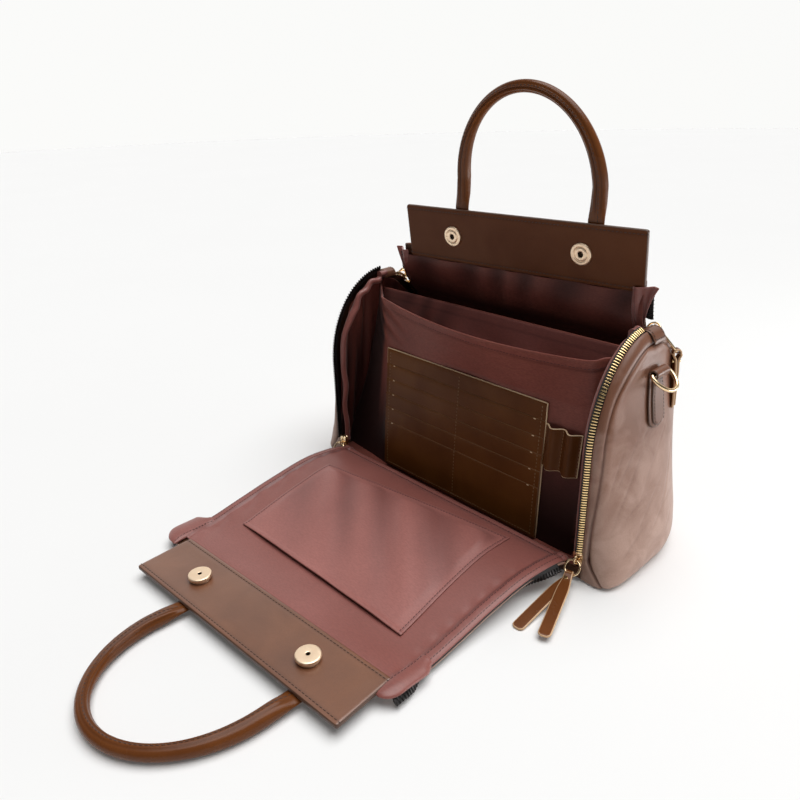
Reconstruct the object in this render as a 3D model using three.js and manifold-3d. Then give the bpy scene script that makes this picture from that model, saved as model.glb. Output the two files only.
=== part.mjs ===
// Leather shoulder bag, standing open: its front is unzipped and lies on the floor, its back is zipped up.
// Millimetres. +X is the right side as the open front is looked at, +Y the back, +Z up.
// The origin is the middle of the base, on the surface that the bag stands on.

import * as THREE from 'three';
import { mergeVertices } from 'three/addons/utils/BufferGeometryUtils.js';
import Module from 'manifold-3d';

const { lerp, degToRad, smoothstep } = THREE.MathUtils;
const point = (x, y, z) => new THREE.Vector3(x, y, z);

// Driving dimensions
const LEATHER = 2;
const CLOTH = 1;
const GAP = 0.3;
const ARCH = { halfDepth: 63, footZ: 2.2, shoulderZ: 108, rise: 78, straightShare: 0.49, backLean: 0.21 };
const ZIP_LINE = { x: 145.5, backLean: 4 };
const FACING = { depthInset: 3.5, crownInset: 9 };
const ZIP_HALF = 6;
const ZIP_THICK = 1.8;
const STRIP = { length: 231, height: 47, thick: 3.6, corner: 3 };
const FLAP_TURN = degToRad(4);
const BACK_FLAP = { shift: 10.5, y: 15, z: 207, lean: degToRad(7.6) };
const BACK_TOP = { shift: 4, taper: 8, fromZ: 178, toZ: 205 };
const FRONT_FLAP = { shift: 5.5, y: -249.6, z: 10 };
const SNAP = { radius: 9, spread: 63.5, socketThick: 2.4, studThick: 4.6, postRadius: 1.9, postHeight: 1.8 };
const HANDLE = {
  spread: 64, leg: 22, rise: 95.5, seat: 3.8, arcSteps: 9, sides: 10,
};
const BACK_HANDLE = { shift: 8, standOff: 7.5, sway: -2 };
const FRONT_HANDLE = { shift: 12, standOff: 0, sway: -8 };
const D_RING = { wire: 1.5, barHalf: 10, halfWidth: 12, side: 4 };
const BASE_LINING = { front: -57, back: 55, inset: 7 };
const D_TAB = { y: -6, halfWidth: 8.5, length: 42, thick: 3, eyeRadius: 3.9, eyeHole: 2.1, barZ: 160 };
const D_RING_DROOP = degToRad(38);
const PULL = { length: 62, width: 8, neck: 4, thick: 1.7, eyeRadius: 3.4, eyeHole: 2 };
const RING_WIRE = 0.9;
const SLIDER = { length: 12, shoulder: 7.6, tail: 6, thick: 5.4, bailWire: 0.8 };
const CARD_PANEL = {
  left: -99.5, right: 85.5, height: 119, slots: 5, firstSlot: 15, pitch: 14.5, thin: 1.5, step: 0.5,
  footShift: 3, footRise: 4, tilt: degToRad(-1.8),
};
const PEN_LOOPS = { left: 88, right: 120.5, bottomZ: 72, topZ: 108, loops: 2, depth: 8.5, thick: 1.6 };
const POUCH = {
  frontRight: 122.5, sideGap: 10.5, sideShare: 0.55, leftFold: 4, wall: 1.2, sag: 11,
};

// Columns and rows of the walls' grids
const GRID = {
  gusset: [10, 13], facing: [32, 1], gussetLining: [14, 7], crownTab: [1, 8], back: [4, 16], freeZip: [1, 8],
  front: [4, 12], pocket: [10, 8], baseLining: [1, 6], panelZip: [1, 10], penLoops: [16, 1],
  pouchFront: [8, 5], pouchBack: [1, 5], pouchSide: [2, 5],
};

// Outward swell of a gusset beyond its zip line, and how square that swell is towards the front and the back
const GUSSET_ROWS = [
  { z: 2.2, swell: 21, front: 6, back: 1.5 },
  { z: 4.8, swell: 25, front: 6, back: 1.5 },
  { z: 10, swell: 27.5, front: 4.5, back: 1.5 },
  { z: 25, swell: 28, front: 3, back: 1.5 },
  { z: 55, swell: 24.5, front: 2, back: 1.5 },
  { z: 85, swell: 20, front: 1.7, back: 1.5 },
  { z: 108, swell: 16.5, front: 1.6, back: 1.5 },
  { z: 130, swell: 13.2, front: 1.6, back: 1.5 },
  { z: 150, swell: 10.2, front: 1.6, back: 1.6 },
  { z: 168, swell: 7.5, front: 2, back: 2 },
  { z: 177, swell: 5, front: 2, back: 2 },
  { z: 186, swell: 0, front: 2, back: 2 },
];

// Base from the top of its front lip over the flat underside to the top of its back lip
const BASE_ROWS = [
  { y: -66.4, z: 12, halfWidth: 144.5 },
  { y: -66.4, z: 8, halfWidth: 144.5 },
  { y: -65.2, z: 4.4, halfWidth: 144.5 },
  { y: -62.4, z: 1.9, halfWidth: 144.5 },
  { y: -58.6, z: 1, halfWidth: 156 },
  { y: -53, z: 1, halfWidth: 164.5 },
  { y: 2, z: 1, halfWidth: 164.5 },
  { y: 28, z: 1, halfWidth: 158.5 },
  { y: 50, z: 1, halfWidth: 150 },
  { y: 58.6, z: 1, halfWidth: 145 },
  { y: 62.4, z: 1.9, halfWidth: 144 },
  { y: 65.2, z: 4.4, halfWidth: 144 },
  { y: 66.4, z: 8, halfWidth: 144 },
  { y: 66.4, z: 12, halfWidth: 144 },
];

// Front panel from the hinge outwards, with its left and right edges
const FRONT_ROWS = [
  { y: -66.5, z: 14.6, left: -132.8, right: 134 },
  { y: -80, z: 18, left: -135.5, right: 133 },
  { y: -110, z: 18.5, left: -140, right: 130 },
  { y: -150, z: 14, left: -139, right: 128 },
  { y: -190, z: 8.5, left: -135.5, right: 127.5 },
  { y: -222, z: 6, left: -130.5, right: 128 },
  { y: -249.3, z: 7.9, left: -126.5, right: 128.5 },
  { y: -258, z: 7.6, left: -125.5, right: 128.5 },
];

// Top of the back panel, from where it leaves the gussets up to behind the strip
const BACK_TOP_ROWS = [
  { y: 21, z: 187 },
  { y: 18, z: 198 },
  { y: 17, z: 207 },
  { y: 16.4, z: 215.5 },
];

// Divider pocket: front and back walls, left end of the front and how far the front bows out, by height
const POUCH_ROWS = [
  { z: 3.8, front: -46, back: -34, left: -99, bow: 0 },
  { z: 40, front: -42.5, back: -22, left: -100.5, bow: 0 },
  { z: 85, front: -38.15, back: -10, left: -102, bow: 0 },
  { z: 128, front: -34, back: -3, left: -103.5, bow: 0 },
  { z: 148, front: -34, back: -1, left: -103.5, bow: 6 },
  { z: 170, front: -36, back: 0, left: -103.5, bow: 12 },
];

// Leather tab over the top of a gusset, from the inside to the outside
const CROWN_TAB_ROWS = [
  { x: 137.5, z: 182 },
  { x: 138.5, z: 188 },
  { x: 143.5, z: 190.6 },
  { x: 149, z: 188 },
  { x: 152.6, z: 181 },
  { x: 155, z: 171 },
];

// Half of a handle from the end sewn behind the strip: height above the strip and half sizes of the section.
// away is how much of the handle's standing off from the strip is reached there.
const HANDLE_ROWS = [
  { up: -36, wide: 5, thick: 1.2, away: 0 },
  { up: -32, wide: 7, thick: 1.5, away: 0 },
  { up: 0.5, wide: 7, thick: 1.6, away: 0.05 },
  { up: 8, wide: 6.4, thick: 4.6, away: 0.6 },
  { up: 15, wide: 5.9, thick: 6, away: 1 },
];

const FINISHES = {
  leather: { color: 0x6e4e39, roughness: 0.42, metalness: 0 },
  darkLeather: { color: 0x3f2818, roughness: 0.45, metalness: 0 },
  lining: { color: 0x6f4549, roughness: 0.6, metalness: 0 },
  zipTape: { color: 0x15110f, roughness: 0.8, metalness: 0 },
  gold: { color: 0xd9b77c, roughness: 0.25, metalness: 1 },
};

const bag = new THREE.Group();
const wasm = await Module();
wasm.setup();

function piece(name, finish, geometry, parent = bag) {
  const mesh = new THREE.Mesh(geometry, new THREE.MeshStandardMaterial(FINISHES[finish]));
  mesh.name = name;
  parent.add(mesh);
  return mesh;
}

// A piece of the right side and its mirror image on the left.
function pair(name, finish, geometry) {
  piece(`${name}_right`, finish, geometry);
  piece(`${name}_left`, finish, geometry).scale.x = -1;
}

function group(parent, place, turn = new THREE.Euler()) {
  const made = new THREE.Group();
  made.position.copy(place);
  made.rotation.copy(turn);
  parent.add(made);
  return made;
}

// Place of a value of a table's key column: the row before it and the share of the way to the next row.
function placeAt(rows, key, value) {
  const rising = rows[rows.length - 1][key] > rows[0][key];
  let i = 0;
  while (i < rows.length - 2 && (rising ? rows[i + 1][key] < value : rows[i + 1][key] > value)) i += 1;
  const share = (value - rows[i][key]) / (rows[i + 1][key] - rows[i][key]);
  return { i, share: THREE.MathUtils.clamp(share, 0, 1) };
}

// Row of a table at a value of its key column, with straight runs between the rows.
function rowAt(rows, key, value) {
  const { i, share } = placeAt(rows, key, value);
  const [from, to] = [rows[i], rows[i + 1]];
  const columns = Object.keys(from);
  return Object.fromEntries(columns.map((column) => [column, lerp(from[column], to[column], share)]));
}

// Share of the length of a curve through a table's rows at a value of its key column.
function shareAt(rows, key, value) {
  const { i, share } = placeAt(rows, key, value);
  return (i + share) / (rows.length - 1);
}

// Smooth curve through a table's rows, each turned into a point.
const curveThrough = (rows, toPoint) => new THREE.CatmullRomCurve3(rows.map(toPoint), false, 'centripetal');

function meshGeometry(points, index) {
  const geometry = new THREE.BufferGeometry();
  const flat = points.flatMap((p) => [p.x, p.y, p.z]);
  geometry.setAttribute('position', new THREE.Float32BufferAttribute(flat, 3));
  geometry.setIndex(index);
  geometry.computeVertexNormals();
  return geometry;
}

// Closed wall on a surface. surface(u, v) gives a point for u and v from 0 to 1, and the wall lies
// between two offsets along the surface's normal (its u direction crossed with its v direction).
function wall(surface, offsets, columns, rows) {
  const step = 1e-3;
  const lifted = (u, v, offset) => {
    const along = surface(Math.min(u + step, 1), v).sub(surface(Math.max(u - step, 0), v));
    const up = surface(u, Math.min(v + step, 1)).sub(surface(u, Math.max(v - step, 0)));
    return surface(u, v).addScaledVector(along.cross(up).normalize(), offset);
  };
  const points = [];
  for (const offset of offsets) {
    for (let j = 0; j <= rows; j += 1) {
      for (let i = 0; i <= columns; i += 1) points.push(lifted(i / columns, j / rows, offset));
    }
  }
  const at = (side, i, j) => (side * (rows + 1) + j) * (columns + 1) + i;
  const index = [];
  const quad = (a, b, c, d) => index.push(a, b, c, a, c, d);
  for (let j = 0; j < rows; j += 1) {
    for (let i = 0; i < columns; i += 1) {
      quad(at(1, i, j), at(1, i + 1, j), at(1, i + 1, j + 1), at(1, i, j + 1));
      quad(at(0, i, j), at(0, i, j + 1), at(0, i + 1, j + 1), at(0, i + 1, j));
    }
    quad(at(0, 0, j), at(1, 0, j), at(1, 0, j + 1), at(0, 0, j + 1));
    quad(at(0, columns, j), at(0, columns, j + 1), at(1, columns, j + 1), at(1, columns, j));
  }
  for (let i = 0; i < columns; i += 1) {
    quad(at(0, i, 0), at(0, i + 1, 0), at(1, i + 1, 0), at(1, i, 0));
    quad(at(0, i, rows), at(1, i, rows), at(1, i + 1, rows), at(0, i + 1, rows));
  }
  return meshGeometry(points, index);
}

// Closed solid through a row of rings that all have the same number of points.
function loft(rings) {
  const sides = rings[0].length;
  const index = [];
  for (let r = 0; r < rings.length - 1; r += 1) {
    for (let i = 0; i < sides; i += 1) {
      const [a, b] = [r * sides + i, r * sides + ((i + 1) % sides)];
      index.push(a, b, b + sides, a, b + sides, a + sides);
    }
  }
  const last = (rings.length - 1) * sides;
  for (let i = 1; i < sides - 1; i += 1) {
    index.push(0, i + 1, i);
    index.push(last, last + i, last + i + 1);
  }
  return meshGeometry(rings.flat(), index);
}

function solid(geometry) {
  const bare = new THREE.BufferGeometry();
  bare.setAttribute('position', geometry.getAttribute('position'));
  bare.setIndex(geometry.getIndex());
  const merged = mergeVertices(bare, 1e-3);
  const vertProperties = merged.getAttribute('position').array;
  const triVerts = new Uint32Array(merged.getIndex().array);
  return new wasm.Manifold(new wasm.Mesh({ numProp: 3, vertProperties, triVerts }));
}

function geometryOf(made) {
  const { vertProperties, triVerts } = made.getMesh();
  const geometry = new THREE.BufferGeometry();
  geometry.setAttribute('position', new THREE.Float32BufferAttribute(vertProperties, 3));
  geometry.setIndex(new THREE.BufferAttribute(triVerts, 1));
  geometry.computeVertexNormals();
  return geometry;
}

const joined = (...geometries) => geometryOf(geometries.map(solid).reduce((a, b) => a.add(b)));
const cut = (geometry, tool) => geometryOf(solid(geometry).subtract(solid(tool)));

function roundedRectangle(width, height, corner) {
  const shape = new THREE.Shape();
  const [w, h] = [width / 2 - corner, height / 2 - corner];
  shape.absarc(w, h, corner, 0, Math.PI / 2);
  shape.absarc(-w, h, corner, Math.PI / 2, Math.PI);
  shape.absarc(-w, -h, corner, Math.PI, 1.5 * Math.PI);
  shape.absarc(w, -h, corner, 1.5 * Math.PI, 2 * Math.PI);
  return shape;
}

const plate = (shape, thick, curveSegments = 4) => new THREE.ExtrudeGeometry(shape, {
  depth: thick, bevelEnabled: false, curveSegments,
});

// Gussets, built on the right side

// The back leans forwards as it rises, so its half of a gusset gets shallower.
const depthShare = (side, z) => (side > 0 ? 1 - ARCH.backLean * smoothstep(z, 0, ARCH.shoulderZ) : 1);

// Outline of a gusset: side runs from -1 at the front foot over 0 at the crown to 1 at the back foot.
function archPoint(side, depthInset = 0, crownInset = 0) {
  const far = Math.abs(side);
  const halfDepth = Math.sign(side) * (ARCH.halfDepth - depthInset);
  if (far > ARCH.straightShare) {
    const down = (far - ARCH.straightShare) / (1 - ARCH.straightShare);
    const z = lerp(ARCH.shoulderZ, ARCH.footZ, down);
    return { y: halfDepth * depthShare(side, z), z };
  }
  const angle = (far / ARCH.straightShare) * Math.PI / 2;
  const z = ARCH.shoulderZ + (ARCH.rise - crownInset) * Math.cos(angle);
  return { y: halfDepth * Math.sin(angle) * depthShare(side, z), z };
}

// Place along the outline whose arch has turned this far from the crown.
const sideAtTurn = (degrees) => ARCH.straightShare * degrees / 90;

// Place along the outline whose straight part is this high.
const sideAtHeight = (z) => lerp(1, ARCH.straightShare, (z - ARCH.footZ) / (ARCH.shoulderZ - ARCH.footZ));

function archHalfDepth(side, z) {
  const share = Math.min(1, Math.max(0, z - ARCH.shoulderZ) / ARCH.rise);
  return ARCH.halfDepth * Math.sqrt(1 - share * share) * depthShare(side, z);
}

function zipLineX(y, z) {
  const backShare = (y / ARCH.halfDepth + 1) / 2;
  return ZIP_LINE.x - ZIP_LINE.backLean * backShare * z / (ARCH.shoulderZ + ARCH.rise);
}

// Inner face of the gusset's leather.
function gussetSkin(y, z) {
  const { swell, front, back } = rowAt(GUSSET_ROWS, 'z', z);
  const square = y > 0 ? back : front;
  const across = Math.min(1, Math.abs(y) / Math.max(archHalfDepth(y, z), 1e-6));
  return point(zipLineX(y, z) + swell * (1 - across ** square) ** (1 / square), y, z);
}

// Spaces the columns of a gusset closer towards its steep edges.
const edgeSpacing = (u) => Math.sin((u - 0.5) * Math.PI);

function gussetSurface(depthInset, crownInset, topSide, inward) {
  return (u, v) => {
    const front = archPoint(-lerp(1, topSide, v), depthInset, crownInset);
    const back = archPoint(lerp(1, topSide, v), depthInset, crownInset);
    const across = lerp(front.y, back.y, (1 + edgeSpacing(u)) / 2);
    const skin = gussetSkin(across, front.z);
    skin.x -= inward(across);
    return skin;
  };
}

const TOP_SIDE = 0.06;
const seamGap = 2.5 * GAP;
const [seamDepth, seamCrown] = [FACING.depthInset + seamGap, FACING.crownInset + seamGap];
const plainGusset = gussetSurface(seamDepth, seamCrown, TOP_SIDE, () => 0);
pair('gusset', 'leather', wall(plainGusset, [0, LEATHER], ...GRID.gusset));

const facingSurface = (u, v) => {
  const outer = archPoint(lerp(-1, 1, u));
  const inner = archPoint(lerp(-1, 1, u), FACING.depthInset, FACING.crownInset);
  return gussetSkin(lerp(inner.y, outer.y, v), lerp(inner.z, outer.z, v));
};
pair('zip_facing', 'leather', wall(facingSurface, [0, LEATHER], ...GRID.facing));

// The lining hangs in loose upright folds.
const FOLD_COUNT = 3;
const FOLD_DEPTH = 1.2;
const LINING_BEHIND = 2.4;
const LINING_INSET = 3.6;
const foldInward = (y) => {
  const turn = 2 * Math.PI * FOLD_COUNT * y / ARCH.halfDepth;
  return LINING_BEHIND + FOLD_DEPTH * (1 - Math.cos(turn));
};
const linedGusset = gussetSurface(LINING_INSET, FACING.crownInset, TOP_SIDE, foldInward);
pair('gusset_lining', 'lining', wall(linedGusset, [-CLOTH, 0], ...GRID.gussetLining));

const crownTabCurve = curveThrough(CROWN_TAB_ROWS, ({ x, z }) => point(x, 0, z));
const CROWN_TAB_HALF = 12;
const crownTabSurface = (u, v) => {
  const { x, z } = crownTabCurve.getPoint(v);
  return point(x, lerp(CROWN_TAB_HALF, -CROWN_TAB_HALF, u), z);
};
pair('crown_tab', 'leather', wall(crownTabSurface, [-LEATHER / 2, LEATHER / 2], ...GRID.crownTab));

// Base with a lip along the front and the back

const baseSurface = (u, v) => {
  const place = v * (BASE_ROWS.length - 1);
  const i = Math.min(Math.floor(place), BASE_ROWS.length - 2);
  const mix = (column) => lerp(BASE_ROWS[i][column], BASE_ROWS[i + 1][column], place - i);
  return point(lerp(-mix('halfWidth'), mix('halfWidth'), u), mix('y'), mix('z'));
};
piece('base', 'leather', wall(baseSurface, [-LEATHER / 2, LEATHER / 2], 1, BASE_ROWS.length - 1));

const baseLiningSurface = (u, v) => {
  const y = lerp(BASE_LINING.front, BASE_LINING.back, v);
  const halfWidth = rowAt(BASE_ROWS, 'y', y).halfWidth - BASE_LINING.inset;
  return point(lerp(-halfWidth, halfWidth, u), y, LEATHER + GAP);
};
piece('base_lining', 'lining', wall(baseLiningSurface, [0, CLOTH], ...GRID.baseLining));

// Zip tapes with their rows of teeth, as plain bands

function zipBand(fromSide, toSide, width, columns) {
  const surface = (u, v) => {
    const { y, z } = archPoint(lerp(fromSide, toSide, u));
    return point(zipLineX(y, z) - GAP - width * v, y, z);
  };
  return wall(surface, [-ZIP_THICK / 2, ZIP_THICK / 2], columns, 1);
}

// Heights of the feet, and turns from the crown of the tops in degrees
const FRONT_ZIP = { footZ: 26, top: 12, columns: 18 };
const BACK_ZIP = { footZ: 10, top: 36, columns: 16 };
const frontZip = [-sideAtHeight(FRONT_ZIP.footZ), -sideAtTurn(FRONT_ZIP.top), ZIP_HALF, FRONT_ZIP.columns];
pair('zip_front_gusset', 'zipTape', zipBand(...frontZip));
const backZip = [sideAtHeight(BACK_ZIP.footZ), sideAtTurn(BACK_ZIP.top), 2 * ZIP_HALF, BACK_ZIP.columns];
pair('zip_back', 'zipTape', zipBand(...backZip));

// Back panel with its lining, and the free ends of its zip tapes

const BACK_HEIGHTS = [8, 40, 75, 108];
const BACK_TURNS = [67, 45, 36];
const backRows = [
  ...BACK_HEIGHTS.map((z) => archPoint(sideAtHeight(z))),
  ...BACK_TURNS.map((degrees) => archPoint(sideAtTurn(degrees))),
  ...BACK_TOP_ROWS,
];
const backCurve = curveThrough(backRows, ({ y, z }) => point(0, y, z));
const backHalfWidth = ZIP_LINE.x - ZIP_LINE.backLean - 2 * ZIP_HALF - 2 * GAP;

// The top of the back gets narrower, leans over to one side and turns with the strip.
// share runs from -1 at the left edge to 1 at the right one, and out is a distance beyond the edge.
function backSkin(share, v, out = 0) {
  const { y, z } = backCurve.getPoint(v);
  const top = smoothstep(z, BACK_TOP.fromZ, BACK_TOP.toZ);
  const x = share * (backHalfWidth - BACK_TOP.taper * top + out);
  return point(x + BACK_TOP.shift * top, y + x * Math.tan(FLAP_TURN) * top, z);
}

const backSurface = (u, v) => backSkin(lerp(-1, 1, u), v);
piece('back_panel', 'leather', wall(backSurface, [-GAP - LEATHER, -GAP], ...GRID.back));
const backLiningEnd = shareAt(backRows, 'z', BACK_FLAP.z - GAP);
const BACK_LINING_START = 0.005;
const backLiningSurface = (u, v) => backSurface(u, lerp(BACK_LINING_START, backLiningEnd, v));
piece('back_lining', 'lining', wall(backLiningSurface, [1.5 * GAP, 1.5 * GAP + CLOTH], ...GRID.back));

const FREE_ZIP_FOOT = 188;
const freeZipStart = shareAt(backRows, 'z', FREE_ZIP_FOOT);
for (const [name, sign] of [['zip_back_free_left', -1], ['zip_back_free_right', 1]]) {
  const freeSurface = (u, v) => {
    const out = GAP + ZIP_HALF * (sign > 0 ? u : 1 - u);
    return backSkin(sign, lerp(freeZipStart, 1, v), out);
  };
  piece(name, 'zipTape', wall(freeSurface, [-GAP - ZIP_THICK, -GAP], ...GRID.freeZip));
}

// Front panel on the floor with its lining, pocket and zip tapes

const frontCurve = curveThrough(FRONT_ROWS, ({ y, z }) => point(0, y, z));
const FRONT_TURN = { from: 90, to: 249 };

// x is measured from the left edge (0) to the right edge (1).
function frontSkin(share, v) {
  const { y, z } = frontCurve.getPoint(v);
  const { left, right } = rowAt(FRONT_ROWS, 'y', y);
  const x = lerp(left, right, share);
  return point(x, y + x * Math.tan(FLAP_TURN) * smoothstep(-y, FRONT_TURN.from, FRONT_TURN.to), z);
}

piece('front_panel', 'leather', wall(frontSkin, [GAP / 2, GAP / 2 + LEATHER], ...GRID.front));
const frontLiningEnd = shareAt(FRONT_ROWS, 'y', FRONT_FLAP.y + 4 * GAP);
const frontLiningSurface = (u, v) => frontSkin(u, v * frontLiningEnd);
piece('front_lining', 'lining', wall(frontLiningSurface, [-1.5 * GAP - CLOTH, -1.5 * GAP], ...GRID.front));

const POCKET = { left: 0.145, right: 0.87, foot: -98, mouth: -212, clearance: 2.2, puff: 3.4 };
const [pocketFoot, pocketMouth] = [POCKET.foot, POCKET.mouth].map((y) => shareAt(FRONT_ROWS, 'y', y));
const pocketSurface = (u, v) => {
  const place = frontSkin(lerp(POCKET.left, POCKET.right, u), lerp(pocketFoot, pocketMouth, v));
  place.z += POCKET.clearance + POCKET.puff * Math.sin(Math.PI * u) * v * v;
  return place;
};
piece('front_pocket', 'lining', wall(pocketSurface, [-CLOTH, 0], ...GRID.pocket));

// The open tapes hang over the panel's side edges.
const TAPE = { fromY: -81, drop: 3.5, reach: 5 };
const tapeStart = shareAt(FRONT_ROWS, 'y', TAPE.fromY);
for (const [name, edge, sign] of [['zip_front_panel_left', 0, -1], ['zip_front_panel_right', 1, 1]]) {
  const tapeSurface = (u, v) => {
    const place = frontSkin(edge, lerp(tapeStart, 1, v));
    const out = sign > 0 ? u : 1 - u;
    place.x += sign * (3 * GAP + TAPE.reach * out);
    place.z -= TAPE.drop * out;
    return place;
  };
  piece(name, 'zipTape', wall(tapeSurface, [-ZIP_THICK / 2, ZIP_THICK / 2], ...GRID.panelZip));
}

// Top strips with their snaps, in the frame of a strip: X along it, Y up from its sewn edge,
// +Z out of the face that carries the snaps. A snap's profile is turned round: radius and height.

function stripGeometry() {
  const geometry = plate(roundedRectangle(STRIP.length, STRIP.height, STRIP.corner), STRIP.thick);
  return geometry.translate(0, STRIP.height / 2, -STRIP.thick / 2);
}

const lathe = (profile) => {
  const points = profile.map(([r, h]) => new THREE.Vector2(r, h));
  return new THREE.LatheGeometry(points, 16).rotateX(Math.PI / 2);
};

function socketGeometry() {
  const { radius, socketThick } = SNAP;
  return lathe([
    [0, 0], [radius, 0], [radius, socketThick - 0.6], [radius - 0.6, socketThick],
    [radius - 2.2, socketThick], [radius - 2.8, socketThick - 0.7], [4.6, socketThick - 0.7],
    [4, socketThick], [2.4, socketThick], [2.2, 0.6], [0, 0.6],
  ]);
}

function studGeometry() {
  const { radius, studThick, postRadius, postHeight } = SNAP;
  const top = studThick + postHeight;
  return lathe([
    [0, 0], [radius, 0], [radius, studThick - 0.8], [radius - 0.8, studThick],
    [radius - 2, studThick], [radius - 2.6, studThick - 0.5], [postRadius, studThick - 0.5],
    [postRadius, top - 0.5], [postRadius - 0.5, top], [0, top],
  ]);
}

// right is 1 where X runs to the bag's right, and -1 where it runs to the left.
function addStrip(strip, snapName, snapGeometry, right, parent) {
  piece(strip, 'darkLeather', stripGeometry(), parent);
  for (const [side, sign] of [['left', -right], ['right', right]]) {
    const snap = piece(`${snapName}_${side}`, 'gold', snapGeometry, parent);
    snap.position.set(sign * SNAP.spread, STRIP.height / 2, STRIP.thick / 2 + GAP / 2);
  }
}

// Rolled handle with flat ends, in the frame of a strip: its arch stands above the strip's top edge.
// shift moves it along the strip, standOff away from the strip's back, and sway leans the arch over.
function handleGeometry({ shift, standOff, sway }) {
  const { spread, leg, rise, seat, arcSteps, sides } = HANDLE;
  const round = HANDLE_ROWS[HANDLE_ROWS.length - 1];
  const stations = HANDLE_ROWS.map((row) => ({ ...row, x: spread, angle: Math.PI / 2 }));
  for (let i = 0; i <= arcSteps; i += 1) {
    const turn = (i / arcSteps) * Math.PI / 2;
    const [x, up] = [spread * Math.cos(turn), leg + (rise - leg) * Math.sin(turn)];
    const angle = Math.atan2((rise - leg) * Math.cos(turn), -spread * Math.sin(turn));
    stations.push({ ...round, x, up, angle });
  }
  const mirrored = stations.slice(0, -1).reverse().map((s) => ({ ...s, x: -s.x, angle: -s.angle }));
  const rings = [...stations, ...mirrored].map(({ x, up, wide, thick, away, angle }) => {
    const ring = [];
    for (let i = 0; i < sides; i += 1) {
      const turn = (2 * Math.PI * i) / sides;
      const across = wide * Math.cos(turn);
      const px = x + shift + sway * Math.max(up, 0) / rise + across * Math.sin(angle);
      const py = STRIP.height + up - across * Math.cos(angle);
      const pz = -seat - standOff * away - thick * Math.sin(turn);
      ring.push(point(px, py, pz));
    }
    return ring;
  });
  return loft(rings);
}

const backTurn = new THREE.Euler(Math.PI / 2 + BACK_FLAP.lean, 0, FLAP_TURN, 'ZYX');
const backFlap = group(bag, point(BACK_FLAP.shift, BACK_FLAP.y, BACK_FLAP.z + 2 * GAP), backTurn);
addStrip('top_strip_back', 'snap_back', socketGeometry(), 1, backFlap);
piece('handle_back', 'leather', handleGeometry(BACK_HANDLE), backFlap);

const frontTurn = new THREE.Euler(0, 0, Math.PI + FLAP_TURN, 'ZYX');
const frontFlap = group(bag, point(FRONT_FLAP.shift, FRONT_FLAP.y, FRONT_FLAP.z), frontTurn);
addStrip('top_strip_front', 'snap_front', studGeometry(), -1, frontFlap);
piece('handle_front', 'leather', handleGeometry(FRONT_HANDLE), frontFlap).scale.x = -1;

// Zip sliders with their rings and pulls

// Frame of a slider: Y along the zip, Z out of its face. The bail's hole looks along X, or along Y if turned.
function sliderGeometry(bailRadius, bailTurned) {
  const { length, shoulder, tail, thick, bailWire } = SLIDER;
  const corners = [
    [tail / 2, -length / 2], [shoulder / 2, length / 4],
    [shoulder / 2, length / 2 - 1], [shoulder / 4, length / 2],
  ];
  const outline = [...corners, ...corners.toReversed().map(([x, y]) => [-x, y])];
  const body = new THREE.Shape(outline.map(([x, y]) => new THREE.Vector2(x, y)));
  const bail = new THREE.TorusGeometry(bailRadius, bailWire, 6, 12);
  bail.rotateX(bailTurned ? Math.PI / 2 : 0).rotateY(bailTurned ? 0 : Math.PI / 2);
  return joined(plate(body, thick).translate(0, 0, -thick / 2), bail.translate(0, 0, thick / 2));
}

// Leather pull: a strap folded through the ring. The eye is round X, and the two ends run along -Y.
function pullGeometry(splay) {
  const { length, width, neck, thick, eyeRadius, eyeHole } = PULL;
  const eye = new THREE.CylinderGeometry(eyeRadius, eyeRadius, neck, 12).rotateZ(Math.PI / 2);
  const hole = new THREE.CylinderGeometry(eyeHole, eyeHole, 2 * width, 8).rotateZ(Math.PI / 2);
  const ends = [-1, 1].map((sign) => {
    const end = plate(roundedRectangle(width, length, 1.5), thick, 2).translate(0, -length / 2 - eyeHole, 0);
    return end.translate(0, 0, sign > 0 ? 0.2 : -0.2 - thick).rotateZ(sign * splay);
  });
  return cut(joined(eye, ...ends), hole);
}

// Turn that takes X to the first direction and Y to the second.
function turnTo(first, second) {
  const x = first.clone().normalize();
  const z = x.clone().cross(second).normalize();
  const y = z.clone().cross(x);
  return new THREE.Euler().setFromRotationMatrix(new THREE.Matrix4().makeBasis(x, y, z));
}

// slider: its middle and turn. ring: where it passes the bail, the way to its middle and its run there.
// pull: the run of its eye, the way that its ends lie and how far they spread.
function addPull(name, bail, slider, ring, pull) {
  const sliderFrame = group(bag, slider.place, slider.turn);
  piece(`slider_${name}`, 'gold', sliderGeometry(bail.radius, bail.turned), sliderFrame);
  const way = ring.way.clone().normalize();
  const ringFrame = group(bag, ring.at.clone().addScaledVector(way, ring.radius), turnTo(way, ring.run));
  piece(`pull_ring_${name}`, 'gold', new THREE.TorusGeometry(ring.radius, RING_WIRE, 5, 16), ringFrame);
  const eye = ring.at.clone().addScaledVector(way, 2 * ring.radius);
  const pullFrame = group(bag, eye, turnTo(pull.run, pull.way.clone().negate()));
  piece(`pull_${name}`, 'leather', pullGeometry(degToRad(pull.spread)), pullFrame);
}

const FRONT_BAIL = { radius: 3.4, turned: false };
const BACK_BAIL = { radius: 5.2, turned: true };
const FRONT_SLIDER = { x: 141.5, y: -63, z: 19, bailReach: 4.2, pullSlope: degToRad(6.5) };
const BACK_SLIDER = { archTurn: 25, slant: degToRad(30), bailReach: 3.2, pullTilt: 0.25 };

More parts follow.
